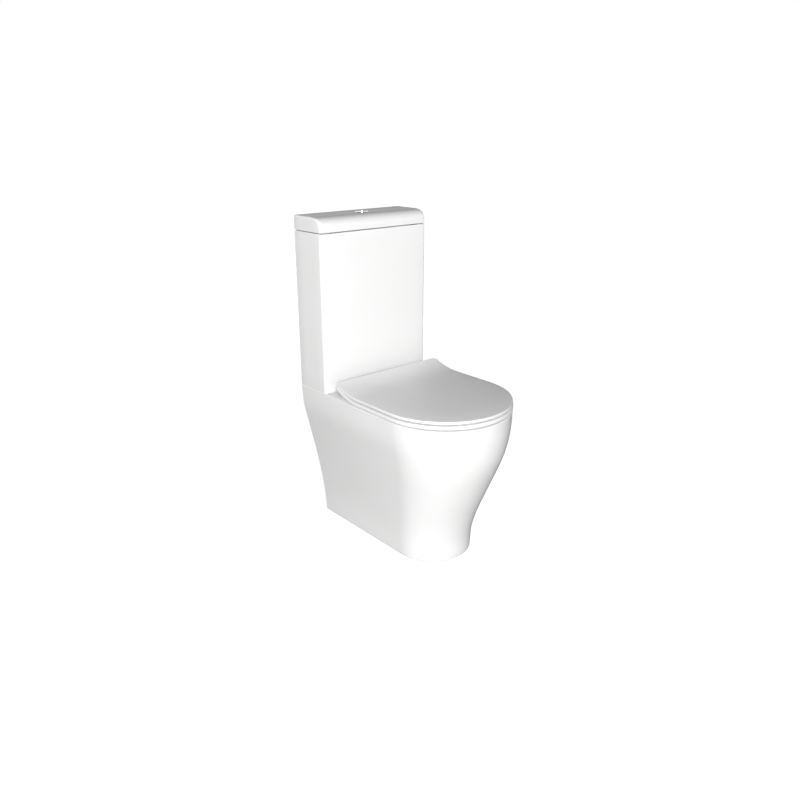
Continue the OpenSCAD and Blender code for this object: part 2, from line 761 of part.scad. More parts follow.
module seat_ring() color(seat_white) {
    difference() {
        union() {
            difference() {
                seat_slab(ring_half, depth, ring_rear, ring_under, ring_over, under_rise, ring_top_rise);
                for (side = [-1, 1])
                    translate([side > 0 ? notch_from : -notch_to, off(notch_off), ring_under])
                        cube([notch_to - notch_from, 40, 60]);
            }
            for (side = [-1, 1]) {
                rod_x(barrel_r, knuckle_t, side * knuckle_x, off(hinge_off), hinge_h);
                translate([side * knuckle_x - knuckle_t / 2, off(hinge_off + web_reach), hinge_h - 3])
                    cube([knuckle_t, web_reach, 11]);
            }
        }
        skin([for (z = [rim_h, ring_over + 40]) oval_ring(118, 512, 262, z, 48)]);
        for (side = [-1, 1])
            rod_x(hinge_pin_r + clear, knuckle_t + 2 * over, side * knuckle_x, off(hinge_off), hinge_h);
    }
}

module seat_cover() color(seat_white) {
    difference() {
        union() {
            seat_slab(ring_half - cover_inset, depth - cover_inset, ring_rear + 1,
                      cover_under, cover_over, cover_under_rise, cover_rise);
            for (side = [-1, 1]) {
                rod_x(barrel_r, ear_t, side * ear_x, off(hinge_off), hinge_h);
                translate([side * ear_x - ear_t / 2, off(hinge_off + web_reach), hinge_h])
                    cube([ear_t, web_reach - 2, 15]);
            }
        }
        for (side = [-1, 1])
            rod_x(hinge_pin_r + clear, ear_t + 2 * over, side * ear_x, off(hinge_off), hinge_h);
    }
}

module ring_buffers() color(seat_white) {
    for (p = [[148, 300], [112, 488]]) both(p[0], p[1]) translate([0, 0, rim_h])
        cylinder(r = 8, h = ring_under - rim_h);
}
module cover_buffers() color(seat_white) {
    for (p = [[146, 320], [86, 512]]) both(p[0], p[1]) translate([0, 0, ring_over])
        cylinder(r = 6, h = cover_under - ring_over);
}

plate_r = 21;
plate_t = 4;
block_r = 7;
damper_r = 5;
module hinge_base_plates() color(chrome) {
    both(block_x, hinge_off) translate([0, 0, rim_h]) washer(plate_r, 4.2, plate_t);
}
module hinge_blocks() color(chrome) {
    difference() {
        for (side = [-1, 1]) {
            rod_x(block_r, block_t, side * block_x, off(hinge_off), hinge_h);
            translate([side * block_x - 8, off(hinge_off + block_r), rim_h + plate_t])
                cube([16, 2 * block_r, hinge_h - rim_h - plate_t]);
        }
        for (side = [-1, 1]) {
            rod_x(damper_r + clear, block_t + 2 * over, side * block_x, off(hinge_off), hinge_h);
            translate([side * block_x, off(hinge_off), rim_h]) cylinder(r = 4.06, h = 20);
        }
    }
}
module hinge_dampers() color(plastic_blue) {
    difference() {
        for (side = [-1, 1]) rod_x(damper_r, block_t - 1, side * block_x, off(hinge_off), hinge_h);
        for (side = [-1, 1]) rod_x(hinge_pin_r + clear, block_t + 2, side * block_x, off(hinge_off), hinge_h);
    }
}
pin_from = ear_x - ear_t / 2;
pin_to = knuckle_x + knuckle_t / 2;
module hinge_pins() color(steel) {
    for (side = [-1, 1]) rod_x(hinge_pin_r, pin_to - pin_from, side * (pin_from + pin_to) / 2,
                               off(hinge_off), hinge_h);
}
module hinge_bolts() color(steel) {
    both(block_x, hinge_off) translate([0, 0, 366]) cylinder(r = 4, h = rim_h + 18 - 366);
}
module hinge_bolt_seals() color(rubber_black) {
    both(block_x, hinge_off) translate([0, 0, deck_under - 6]) difference() {
        cylinder(r1 = 12, r2 = 14, h = 6);
        translate([0, 0, -over]) cylinder(r = 4.06, h = 6 + 2 * over);
    }
}
module hinge_washers() color(steel) {
    both(block_x, hinge_off) translate([0, 0, deck_under - 7.5]) washer(11, 4.06, 1.5);
}
module hinge_wing_nuts() color(plastic_white) {
    both(block_x, hinge_off) translate([0, 0, deck_under - 7.5]) rotate([0, 0, 90]) wing_nut(4.06);
}

// ---------------------------------------------------------------- drawing

pan();
cistern_tank();
cistern_lid();
lid_pads();
button_bezel();
button_nut();
full_flush_button();
half_flush_button();
full_push_rod();
half_push_rod();
full_button_spring();
half_button_spring();
valve_base();
valve_base_washer();
valve_backnut();
valve_tower();
overflow_tube();
lift_yoke();
flush_seal();
full_flush_lever();
half_flush_lever();
lever_pins();
coupling_gasket();
coupling_bolts();
coupling_bolt_seals();
coupling_deck_washers();
coupling_washers();
coupling_wing_nuts();
fill_valve_body();
fill_valve_washer();
fill_valve_locknut();
fill_valve_head();
fill_float();
float_link_rod();
float_arm();
float_arm_pin();
seat_ring();
seat_cover();
ring_buffers();
cover_buffers();
hinge_base_plates();
hinge_blocks();
hinge_pins();
hinge_dampers();
hinge_bolts();
hinge_bolt_seals();
hinge_washers();
hinge_wing_nuts();
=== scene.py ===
import json
import math

import bmesh
import bpy
from mathutils import Matrix, Vector

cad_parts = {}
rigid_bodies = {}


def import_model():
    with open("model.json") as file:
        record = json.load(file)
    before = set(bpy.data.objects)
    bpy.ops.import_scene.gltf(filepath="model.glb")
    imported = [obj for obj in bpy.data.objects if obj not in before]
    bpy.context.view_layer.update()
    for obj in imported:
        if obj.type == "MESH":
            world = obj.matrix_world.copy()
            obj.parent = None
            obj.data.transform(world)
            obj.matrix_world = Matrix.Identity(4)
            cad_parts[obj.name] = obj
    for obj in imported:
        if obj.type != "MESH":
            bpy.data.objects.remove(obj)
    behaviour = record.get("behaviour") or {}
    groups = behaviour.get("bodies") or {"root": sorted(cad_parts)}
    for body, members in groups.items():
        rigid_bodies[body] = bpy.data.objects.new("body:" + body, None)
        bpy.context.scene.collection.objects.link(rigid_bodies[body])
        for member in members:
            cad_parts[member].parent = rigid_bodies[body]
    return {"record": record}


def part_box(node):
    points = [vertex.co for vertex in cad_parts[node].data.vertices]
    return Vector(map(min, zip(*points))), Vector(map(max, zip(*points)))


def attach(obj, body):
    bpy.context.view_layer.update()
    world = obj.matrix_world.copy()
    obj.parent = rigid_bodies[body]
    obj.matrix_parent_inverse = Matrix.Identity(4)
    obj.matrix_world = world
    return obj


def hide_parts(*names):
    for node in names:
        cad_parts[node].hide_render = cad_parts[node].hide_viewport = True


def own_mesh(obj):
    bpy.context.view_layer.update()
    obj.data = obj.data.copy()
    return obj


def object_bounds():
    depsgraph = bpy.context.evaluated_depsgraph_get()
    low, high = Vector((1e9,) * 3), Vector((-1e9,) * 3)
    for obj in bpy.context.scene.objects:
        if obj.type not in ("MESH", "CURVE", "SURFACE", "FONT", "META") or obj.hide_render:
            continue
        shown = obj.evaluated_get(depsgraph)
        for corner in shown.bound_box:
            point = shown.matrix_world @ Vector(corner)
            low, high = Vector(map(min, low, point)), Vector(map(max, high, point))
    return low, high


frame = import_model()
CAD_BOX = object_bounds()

MM = 0.001
TURN = 2 * math.pi

# Taken from the frame: the wall plane, the rim's height and the main parts' sizes.
# "d" stands for a distance off the wall throughout.
TANK_LOW, TANK_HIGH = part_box("cistern_tank")
LID_LOW, LID_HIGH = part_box("cistern_lid")
WALL = TANK_HIGH.y
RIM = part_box("pan")[1].z
SEAT_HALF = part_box("seat_ring")[1].x
DEPTH = WALL - CAD_BOX[0].y
HALF = TANK_HIGH.x
TANK_DEPTH = WALL - TANK_LOW.y
TANK_MID = TANK_DEPTH / 2


def off(d):
    """Y of a point this far off the wall, in metres."""
    return WALL - d


def mix(a, b, t):
    return a + (b - a) * t


def ease(t):
    return t * t * (3 - 2 * t)


def added(name, data):
    """A new object in the scene."""
    obj = bpy.data.objects.new(name, data)
    bpy.context.scene.collection.objects.link(obj)
    return obj


# ------------------------ camera, world, floor

CAMERA_PLACE = Vector((-1.2748, WALL - 1.6915, 1.0989))
CAMERA_TURN = math.radians(40.84)
CAMERA_DIP = math.radians(20.03)
CAMERA_LENS = 33.6


def make_camera():
    data = bpy.data.cameras.new("camera")
    data.lens = CAMERA_LENS
    data.sensor_width = 36
    data.clip_end = 100
    camera = added("camera", data)
    camera.location = CAMERA_PLACE
    camera.rotation_euler = (math.pi / 2 - CAMERA_DIP, 0, -CAMERA_TURN)
    bpy.context.scene.camera = camera


def area_light(name, place, aim, size, power):
    """A round soft light that shines from its place to its aim."""
    data = bpy.data.lights.new(name, "AREA")
    data.shape = "DISK"
    data.size = size
    data.energy = power
    light = added(name, data)
    light.location = place
    light.rotation_euler = (Vector(aim) - Vector(place)).to_track_quat("-Z", "Y").to_euler()
    return light


def settle(node, **values):
    """Sets a node's inputs; an underscore in a name stands for a space."""
    for name, value in values.items():
        node.inputs[name.replace("_", " ")].default_value = value


WHITE_LIGHT = (1, 1, 1, 1)
HORIZON_LIGHT = 0.45
HORIZON_TOP = 0.1  # the sine of the elevation
DOME_LIGHT = 0.05
DOME_FROM = 0.4


def make_world():
    """A studio whose upper part is dim, so that faces that look up read as grey.

    The camera sees a white backdrop in its place.
    """
    world = bpy.data.worlds.new("studio")
    bpy.context.scene.world = world
    world.use_nodes = True
    nodes, links = world.node_tree.nodes, world.node_tree.links
    nodes.clear()
    place = nodes.new("ShaderNodeTexCoord")
    split = nodes.new("ShaderNodeSeparateXYZ")
    ramp = nodes.new("ShaderNodeValToRGB")
    sky = nodes.new("ShaderNodeBackground")
    out = nodes.new("ShaderNodeOutputWorld")
    ramp.color_ramp.interpolation = "EASE"
    ramp.color_ramp.elements[0].position = HORIZON_TOP
    ramp.color_ramp.elements[0].color = (*[HORIZON_LIGHT] * 3, 1)
    ramp.color_ramp.elements[1].position = DOME_FROM
    ramp.color_ramp.elements[1].color = (*[DOME_LIGHT] * 3, 1)
    backdrop = nodes.new("ShaderNodeBackground")
    backdrop.inputs["Color"].default_value = WHITE_LIGHT
    rays = nodes.new("ShaderNodeLightPath")
    either = nodes.new("ShaderNodeMixShader")
    links.new(place.outputs["Generated"], split.inputs[0])
    links.new(split.outputs["Z"], ramp.inputs["Fac"])
    links.new(ramp.outputs["Color"], sky.inputs["Color"])
    links.new(rays.outputs["Is Camera Ray"], either.inputs["Fac"])
    links.new(sky.outputs[0], either.inputs[1])
    links.new(backdrop.outputs[0], either.inputs[2])
    links.new(either.outputs[0], out.inputs[0])


FLOOR_REACH = 30.0
FLOOR_SHADE = (0.38, 0.38, 0.38, 1)
FLOOR_GLOW = 0.82
FADE_FROM = 0.4  # metres from the middle
FADE_TO = 1.6


def make_floor():
    """A pale floor that fades to the backdrop's white away from the toilet. That white is a painted glow, seen
    only by the camera, rising from FLOOR_GLOW near the toilet to full white at FADE_TO.
    """
    mesh = bpy.data.meshes.new("floor")
    mesh.from_pydata([(x * FLOOR_REACH, y * FLOOR_REACH, 0) for x, y in ((-1, -1), (1, -1), (1, 1), (-1, 1))],
                     [], [(0, 1, 2, 3)])
    floor = added("floor", mesh)
    material = bpy.data.materials.new("floor")
    material.use_nodes = True
    nodes, links = material.node_tree.nodes, material.node_tree.links
    shader = nodes["Principled BSDF"]
    settle(shader, Base_Color=FLOOR_SHADE, Roughness=0.9, Specular_IOR_Level=0.1, Emission_Color=WHITE_LIGHT)
    rays = nodes.new("ShaderNodeLightPath")
    place = nodes.new("ShaderNodeTexCoord")
    far = nodes.new("ShaderNodeVectorMath")
    far.operation = "LENGTH"
    fade = nodes.new("ShaderNodeMapRange")
    settle(fade, From_Min=FADE_FROM, From_Max=FADE_TO, To_Min=FLOOR_GLOW, To_Max=1.0)
    glow = nodes.new("ShaderNodeMath")
    glow.operation = "MULTIPLY"
    links.new(place.outputs["Object"], far.inputs[0])
    links.new(far.outputs["Value"], fade.inputs["Value"])
    links.new(fade.outputs["Result"], glow.inputs[1])
    links.new(rays.outputs["Is Camera Ray"], glow.inputs[0])
    # painted glow: emission for camera rays only, stronger away from the toilet
    links.new(glow.outputs[0], shader.inputs["Emission Strength"])
    mesh.materials.append(material)


make_camera()
make_world()
make_floor()
bpy.context.scene.view_settings.view_transform = "Standard"
LIGHT_AIM = (0, 0, 0.45)
area_light("key", (-2.5, -3.05, 1.85), LIGHT_AIM, 0.9, 205)
area_light("left", (-3.6, -1.2, 0.45), LIGHT_AIM, 1.2, 8)
area_light("right", (3.4, -1.6, 0.6), LIGHT_AIM, 1.2, 15)
area_light("back", (-1.2, 3.3, 2.2), LIGHT_AIM, 3.0, 24)

# ------------------------ mesh helpers

SHARP = 32  # degrees between faces that still shade as one


def finish_mesh(name, vertices, faces, sharp):
    mesh = bpy.data.meshes.new(name)
    mesh.from_pydata([tuple(v) for v in vertices], [], faces)
    work = bmesh.new()
    work.from_mesh(mesh)
    bmesh.ops.remove_doubles(work, verts=work.verts, dist=1e-7)
    bmesh.ops.recalc_face_normals(work, faces=work.faces)
    work.to_mesh(mesh)
    work.free()
    smooth(mesh, sharp)
    return added(name, mesh)


def smooth(mesh, sharp=SHARP):
    mesh.polygons.foreach_set("use_smooth", [True] * len(mesh.polygons))
    mesh.set_sharp_from_angle(angle=math.radians(sharp))


def loft(name, rings, closed=False, sharp=SHARP):
    """A skin through rings of equal length; closed joins the last ring to the first."""
    count = len(rings[0])
    vertices = [p for ring in rings for p in ring]
    faces = []
    for k in range(len(rings) if closed else len(rings) - 1):
        a, b = k * count, ((k + 1) % len(rings)) * count
        for i in range(count):
            j = (i + 1) % count
            faces.append((a + i, a + j, b + j, b + i))
    if not closed:
        faces.append(tuple(range(count)))
        last = (len(rings) - 1) * count
        faces.append(tuple(last + i for i in reversed(range(count))))
    return finish_mesh(name, vertices, faces, sharp)


def circle(centre, radius, z, steps=64):
    """A level ring of points."""
    return [Vector((centre[0] + radius * math.cos(TURN * i / steps),
                    centre[1] + radius * math.sin(TURN * i / steps), z)) for i in range(steps)]


def join(name, objects):
    """One object from several, so that a node's separate solids stay one piece."""
    work = bmesh.new()
    for o in objects:
        work.from_mesh(o.data)
        bpy.data.objects.remove(o)
    mesh = bpy.data.meshes.new(name)
    work.to_mesh(mesh)
    work.free()
    smooth(mesh)
    return added(name, mesh)


def carve(obj, tool):
    """Cuts tool out of obj and throws the tool away."""
    modifier = obj.modifiers.new("carve", "BOOLEAN")
    modifier.operation = "DIFFERENCE"
    modifier.solver = "EXACT"
    modifier.object = tool
    depsgraph = bpy.context.evaluated_depsgraph_get()
    mesh = bpy.data.meshes.new_from_object(obj.evaluated_get(depsgraph))
    obj.modifiers.clear()
    obj.data = mesh
    bpy.data.objects.remove(tool)
    smooth(mesh)
    return obj


def drum(radius, low, high, centre, steps=64):
    """An upright cylinder, used as a cutter."""
    return loft("cutter", [circle(centre, radius, z, steps) for z in (low, high)])


def drum_along_y(radius, start, end, centre, steps=48):
    """A cylinder from front to back, used as a cutter. centre is (x, z)."""
    return loft("cutter", [[Vector((x, y, z)) for x, z, _ in circle(centre, radius, 0, steps)]
                           for y in (start, end)])


def place(obj, body, slot, material, *nodes):
    """Gives a finished piece its material and its body, and hides the CAD nodes it stands for."""
    obj.data.materials.clear()
    obj.data.materials.append(material)
    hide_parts(*nodes)
    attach(obj, body)
    return obj


# ------------------------ materials


def material_base(name, colour, roughness, metallic=0.0):
    """A material with its plain settings, and the tree and shader that the rest is wired to."""
    material = bpy.data.materials.new(name)
    material.use_nodes = True
    tree = material.node_tree
    shader = tree.nodes["Principled BSDF"]
    settle(shader, Base_Color=(*colour, 1), Roughness=roughness, Metallic=metallic)
    return material, tree, shader


def noise(tree, scale, detail=3.0, stretch=(1, 1, 1)):
    """A noise texture in the piece's own coordinates."""
    place_node = tree.nodes.new("ShaderNodeTexCoord")
    mapping = tree.nodes.new("ShaderNodeMapping")
    settle(mapping, Scale=stretch)
    texture = tree.nodes.new("ShaderNodeTexNoise")
    settle(texture, Scale=scale, Detail=detail)
    tree.links.new(place_node.outputs["Object"], mapping.inputs["Vector"])
    tree.links.new(mapping.outputs["Vector"], texture.inputs["Vector"])
    return texture


NOISE_RANGE = (0.3, 0.7)  # where nearly all of a noise's values lie
TINT_RANGE = (0.35, 0.65)


def vary(tree, source, socket, low, high):
    """Drives a number socket between low and high by a texture."""
    spread = tree.nodes.new("ShaderNodeMapRange")
    settle(spread, From_Min=NOISE_RANGE[0], From_Max=NOISE_RANGE[1], To_Min=low, To_Max=high)
    tree.links.new(source.outputs["Fac"], spread.inputs["Value"])
    tree.links.new(spread.outputs["Result"], socket)


def tint(tree, source, socket, dark, light):
    """Drives a colour socket between two close colours by a texture."""
    ramp = tree.nodes.new("ShaderNodeValToRGB")
    for element, position, colour in zip(ramp.color_ramp.elements, TINT_RANGE, (dark, light)):
        element.position = position
        element.color = (*colour, 1)
    tree.links.new(source.outputs["Fac"], ramp.inputs["Fac"])
    tree.links.new(ramp.outputs["Color"], socket)


def bump(tree, shader, source, strength, depth):
    """Roughens the surface by a texture; depth is in metres."""
    node = tree.nodes.new("ShaderNodeBump")
    settle(node, Strength=strength, Distance=depth)
    tree.links.new(source.outputs["Fac"], node.inputs["Height"])
    tree.links.new(node.outputs["Normal"], shader.inputs["Normal"])


def make_china():
    """Vitreous china: a clear glaze over a white body, with the glaze's slight unevenness."""
    material, tree, shader = material_base("china", (0.82, 0.82, 0.815), 0.16)
    settle(shader, IOR=1.52, Specular_IOR_Level=0.22, Coat_Weight=0.12, Coat_Roughness=0.04)
    tint(tree, noise(tree, 3.0), shader.inputs["Base Color"], (0.808, 0.808, 0.804), (0.828, 0.828, 0.824))
    vary(tree, noise(tree, 40.0), shader.inputs["Roughness"], 0.13, 0.2)
    bump(tree, shader, noise(tree, 55.0, 2.0), 0.05, 0.0004)
    return material


def make_plastic(name, dark, light, low, high, grain, strength, gloss=0.5):
    """Moulded plastic: a faint texture, and a polish that varies from low to high roughness."""
    material, tree, shader = material_base(name, light, low)
    settle(shader, IOR=1.49, Specular_IOR_Level=gloss)
    tint(tree, noise(tree, 9.0), shader.inputs["Base Color"], dark, light)
    vary(tree, noise(tree, 120.0), shader.inputs["Roughness"], low, high)
    bump(tree, shader, noise(tree, grain, 4.0), strength, 0.0002)
    return material


def make_metal(name, dark, light, low, high, stretch):
    """Plated or rolled metal: the streaks of its finish run along one axis."""
    material, tree, shader = material_base(name, light, low, 1.0)
    tint(tree, noise(tree, 30.0, 4.0, stretch), shader.inputs["Base Color"], dark, light)
    vary(tree, noise(tree, 260.0, 5.0, stretch), shader.inputs["Roughness"], low, high)
    bump(tree, shader, noise(tree, 400.0, 3.0, stretch), 0.06, 0.0001)
    return material


def make_rubber():
    """Black rubber, dull and faintly grained."""
    material, tree, shader = material_base("rubber", (0.03, 0.03, 0.032), 0.75)
    settle(shader, Specular_IOR_Level=0.3)
    tint(tree, noise(tree, 60.0), shader.inputs["Base Color"], (0.022, 0.022, 0.024), (0.045, 0.045, 0.047))
    vary(tree, noise(tree, 200.0), shader.inputs["Roughness"], 0.65, 0.85)
    bump(tree, shader, noise(tree, 500.0, 4.0), 0.25, 0.0003)
    return material


CHINA = make_china()
SEAT = make_plastic("seat_plastic", (0.806, 0.806, 0.806), (0.822, 0.822, 0.822), 0.36, 0.46, 240.0, 0.03,
                    gloss=0.12)
WHITE = make_plastic("white_plastic", (0.78, 0.79, 0.80), (0.84, 0.85, 0.86), 0.36, 0.5, 380.0, 0.15)
BLUE = make_plastic("blue_plastic", (0.08, 0.17, 0.30), (0.11, 0.22, 0.37), 0.34, 0.48, 380.0, 0.15)
CHROME = make_metal("chrome", (0.80, 0.81, 0.83), (0.86, 0.87, 0.89), 0.05, 0.12, (1, 1, 1))
STEEL = make_metal("steel", (0.50, 0.51, 0.52), (0.62, 0.62, 0.62), 0.28, 0.45, (1, 1, 6))
RUBBER = make_rubber()
FINISHES = {"china": CHINA, "seat_plastic": SEAT, "white_plastic": WHITE, "blue_plastic": BLUE,
            "chrome": CHROME, "steel": STEEL, "rubber": RUBBER}

# ------------------------ outlines


def arc(cx, cy, radius, start, end, steps):
    """Points round an arc, in degrees, both ends included."""
    points = []
    for i in range(steps + 1):
        a = math.radians(mix(start, end, i / steps))
        points.append((cx + radius * math.cos(a), cy + radius * math.sin(a)))
    return points


def mirrored(side):
    """A whole outline from its right half, which runs from rear middle to front middle."""
    return side + [(-x, d) for x, d in reversed(side[1:-1])]


def d_outline(half, front, rear, corner):
    """Parallel sides and a half-round front, as (x, distance off the wall)."""
    side = [(mix(0, half - corner, i / 8), rear) for i in range(8)]
    side += arc(half - corner, rear + corner, corner, -90, 0, 6)
    start, middle = rear + corner, front - half
    side += [(half, mix(start, middle, (i / 26) ** 1.25)) for i in range(1, 26)]
    side += arc(0, middle, half, 0, 90, 40)
    return mirrored(side)


def box_outline(half, front, rear, front_corner, rear_corner):
    """A rounded rectangle, as (x, distance off the wall)."""
    side = [(mix(0, half - rear_corner, i / 4), rear) for i in range(4)]
    side += arc(half - rear_corner, rear + rear_corner, rear_corner, -90, 0, 5)
    side += [(half, mix(rear + rear_corner, front - front_corner, i / 4)) for i in range(1, 4)]
    side += arc(half - front_corner, front - front_corner, front_corner, 0, 90, 9)
    side += [(mix(half - front_corner, 0, i / 4), front) for i in range(1, 5)]
    return mirrored(side)


OVAL_POWER = 2.3  # 2 is an ellipse
OVAL_MIDDLE = 0.46  # the widest place, as a share of the length


def oval_outline(half, front, rear, guide):
    """A full oval whose points lie in the same directions as the guide outline's points."""
    middle = mix(rear, front, OVAL_MIDDLE)
    guide_middle = sum(d for _, d in guide) / len(guide)
    points = []
    for x, d in guide:
        a = math.atan2(d - guide_middle, x)
        c, s = abs(math.cos(a)), math.sin(a)
        reach = front - middle if s > 0 else middle - rear
        r = ((c / half) ** OVAL_POWER + (abs(s) / reach) ** OVAL_POWER) ** (-1 / OVAL_POWER)
        points.append((r * math.cos(a), middle + r * s))
    return points


def grown_oval(size, grow, guide):
    """An oval of (half width, front, rear), larger by grow on every side."""
    half, front, rear = size
    return oval_outline(half + grow, front + grow, rear - grow, guide)


def ring_at(outline, z):
    """Outline points in the frame, at one height."""
    return [Vector((x, off(d), z)) for x, d in outline]


def curve(rows, v, column):
    """A column's value at v, on a smooth curve through rows whose first value rises."""
    k = 0
    while k < len(rows) - 2 and v >= rows[k + 1][0]:
        k += 1

    def slope(i):
        a, b = max(0, i - 1), min(len(rows) - 1, i + 1)
        return (rows[b][column] - rows[a][column]) / (rows[b][0] - rows[a][0])

    h = rows[k + 1][0] - rows[k][0]
    t = (v - rows[k][0]) / h
    return (rows[k][column] * (2 * t ** 3 - 3 * t * t + 1) + slope(k) * h * (t ** 3 - 2 * t * t + t)
            + rows[k + 1][column] * (3 * t * t - 2 * t ** 3) + slope(k + 1) * h * (t ** 3 - t * t))


# ------------------------ pan

# Height, half width at the wall, reach off the wall
PAN_ROWS = [(0, 109.5, 459), (60, 114, 463), (120, 122.5, 480), (200, 138, 513),
            (300, 161.5, 553), (360, 175.5, 565), (420, 180, 568)]
# Height, half width, front and rear of the bowl off the wall
BOWL_ROWS = [(62, 34, 322, 258), (95, 38, 332, 252), (140, 46, 352, 246), (190, 62, 388, 243),
             (250, 88, 438, 240), (310, 112, 484, 236), (365, 127, 510, 231), (421, 134, 522, 226)]
PAN_WALL = 13 * MM
DECK = 16 * MM
BOWL_WALL = 11 * MM
TRAP_WALL = 9 * MM
RECESS_WALL = 11 * MM
CHANNEL_WALL = 11 * MM
RIM_ROUND = 2 * MM
MOUTH_ROUND = 9 * MM
FOOT_ROUND = 2.5 * MM
PAN_CORNER = 2 * MM
BOWL_BOTTOM = 62 * MM
LEDGE = (5 * MM, RIM - 52 * MM, 9 * MM)  # the flush ledge: width, height, half thickness
PAST = 5 * MM  # how far a cutter runs past the face it opens


def pan_half(z):
    return curve(PAN_ROWS, z / MM, 1) * MM


def pan_reach(z):
    return curve(PAN_ROWS, z / MM, 2) * MM


def pan_ring(z, inset, rear=0.0, corner=PAN_CORNER):
    """One level of the pan's outside, drawn in by inset on every side."""
    low = max(0.0, z)
    return ring_at(d_outline(pan_half(low) - inset, pan_reach(low) - inset, rear, corner), z)


def bowl_size(z):
    return [curve(BOWL_ROWS, z / MM, k) * MM for k in (1, 2, 3)]


def bowl_ring(z, guide, grow=0.0):
    return ring_at(grown_oval(bowl_size(z), grow, guide), z)


def quarter_turn(step, start=0):
    """(sine, cosine) every step degrees, up to 90."""
    return [(math.sin(math.radians(a)), math.cos(math.radians(a))) for a in range(start, 91, step)]


def pan_skin(guide):
    """The closed outside, deck, rim and bowl of the pan in one sheet."""
    rings = [pan_ring(FOOT_ROUND * (1 - c), FOOT_ROUND * (1 - s)) for s, c in quarter_turn(30)]
    top = RIM - RIM_ROUND
    rings += [pan_ring(mix(FOOT_ROUND, top, i / 48), 0) for i in range(1, 48)]
    rings += [pan_ring(top + RIM_ROUND * s, RIM_ROUND * (1 - c)) for s, c in quarter_turn(15)]
    deck_edge = rings[-1]
    mouth = [ring_at(grown_oval(bowl_size(RIM), MOUTH_ROUND * (1 - s), guide), RIM - MOUTH_ROUND * (1 - c))
             for s, c in quarter_turn(15)]
    rings += [[p.lerp(q, t) for p, q in zip(deck_edge, mouth[0])] for t in (0.12, 0.4, 0.7, 0.93)]
    rings += mouth
    width, height, spread = LEDGE
    for i in range(1, 40):
        z = mix(RIM - MOUTH_ROUND, BOWL_BOTTOM, i / 40)
        rings.append(bowl_ring(z, guide, -width * math.exp(-((height - z) / spread) ** 2)))
    for s, c in quarter_turn(15, 15):  # the sump's rounded bottom
        rings.append(ring_at(grown_oval(bowl_size(BOWL_BOTTOM), -14 * MM * (1 - c), guide),
                             BOWL_BOTTOM - 1 * MM - 5 * MM * s))
    return loft("pan", rings, sharp=30)


# The trapway's middle line, in millimetres: distance off the wall, height, radius
OUTLET_HEIGHT = 185
OUTLET_BORE = 40
TRAP = [(302, 95, 29), (264, 95, 30), (236, 101, 31), (215, 120, 31), (202, 150, 31), (188, 182, 31),
        (162, 206, 32), (134, 211, 34), (110, 203, 37), (92, OUTLET_HEIGHT + 6, 39),
        (78, OUTLET_HEIGHT + 1, OUTLET_BORE), (64, OUTLET_HEIGHT, OUTLET_BORE)]
OUTLET_MOUTH = 4 * MM
OUTLET_SOCKET = 60 * MM


def spline(points, parts):
    """A smooth run of points through the given ones."""
    rows = [Vector(p) for p in points]
    out = []
    for k in range(len(rows) - 1):
        a, b, c, d = rows[max(0, k - 1)], rows[k], rows[k + 1], rows[min(len(rows) - 1, k + 2)]
        for i in range(parts):
            t = i / parts
            out.append(0.5 * ((2 * b) + (c - a) * t + (2 * a - 5 * b + 4 * c - d) * t * t
                              + (3 * b - a - 3 * c + d) * t ** 3))
    out.append(rows[-1])
    return out


def trap_skin(grow, mouth):
    """A tube along the trapway, wider by grow, that ends this far off the wall."""
    path = spline(TRAP, 4) + [Vector((mouth / MM, OUTLET_HEIGHT, OUTLET_BORE))]
    rings = []
    for i, (d, z, r) in enumerate(path):
        before, after = path[max(0, i - 1)], path[min(len(path) - 1, i + 1)]
        along = Vector((0, before[0] - after[0], after[1] - before[1])).normalized()
        across = along.cross(Vector((1, 0, 0)))
        radius = r * MM + grow
        rings.append([Vector((0, off(d * MM), z * MM)) + radius * (
            Vector((math.cos(TURN * k / 40), 0, 0)) + across * math.sin(TURN * k / 40)) for k in range(40)])
    return loft("cutter", rings)


RECESS_RADIUS = 50 * MM
RECESS_FLOOR = RIM - 28 * MM
DROP_RADIUS = 24 * MM  # from the recess down to the channel
CHANNEL_RADIUS = 20 * MM
CHANNEL_HEIGHT = 352 * MM
COUPLING_X = 78 * MM
HINGE_X = 77.5 * MM
HINGE_OFF = 160 * MM
FILL_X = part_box("fill_valve_locknut")[0].x / 2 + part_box("fill_valve_locknut")[1].x / 2
BOLT_HOLE = 6.5 * MM
FILL_HOLE = 21 * MM
VALVE_AXIS = (0, off(TANK_MID))


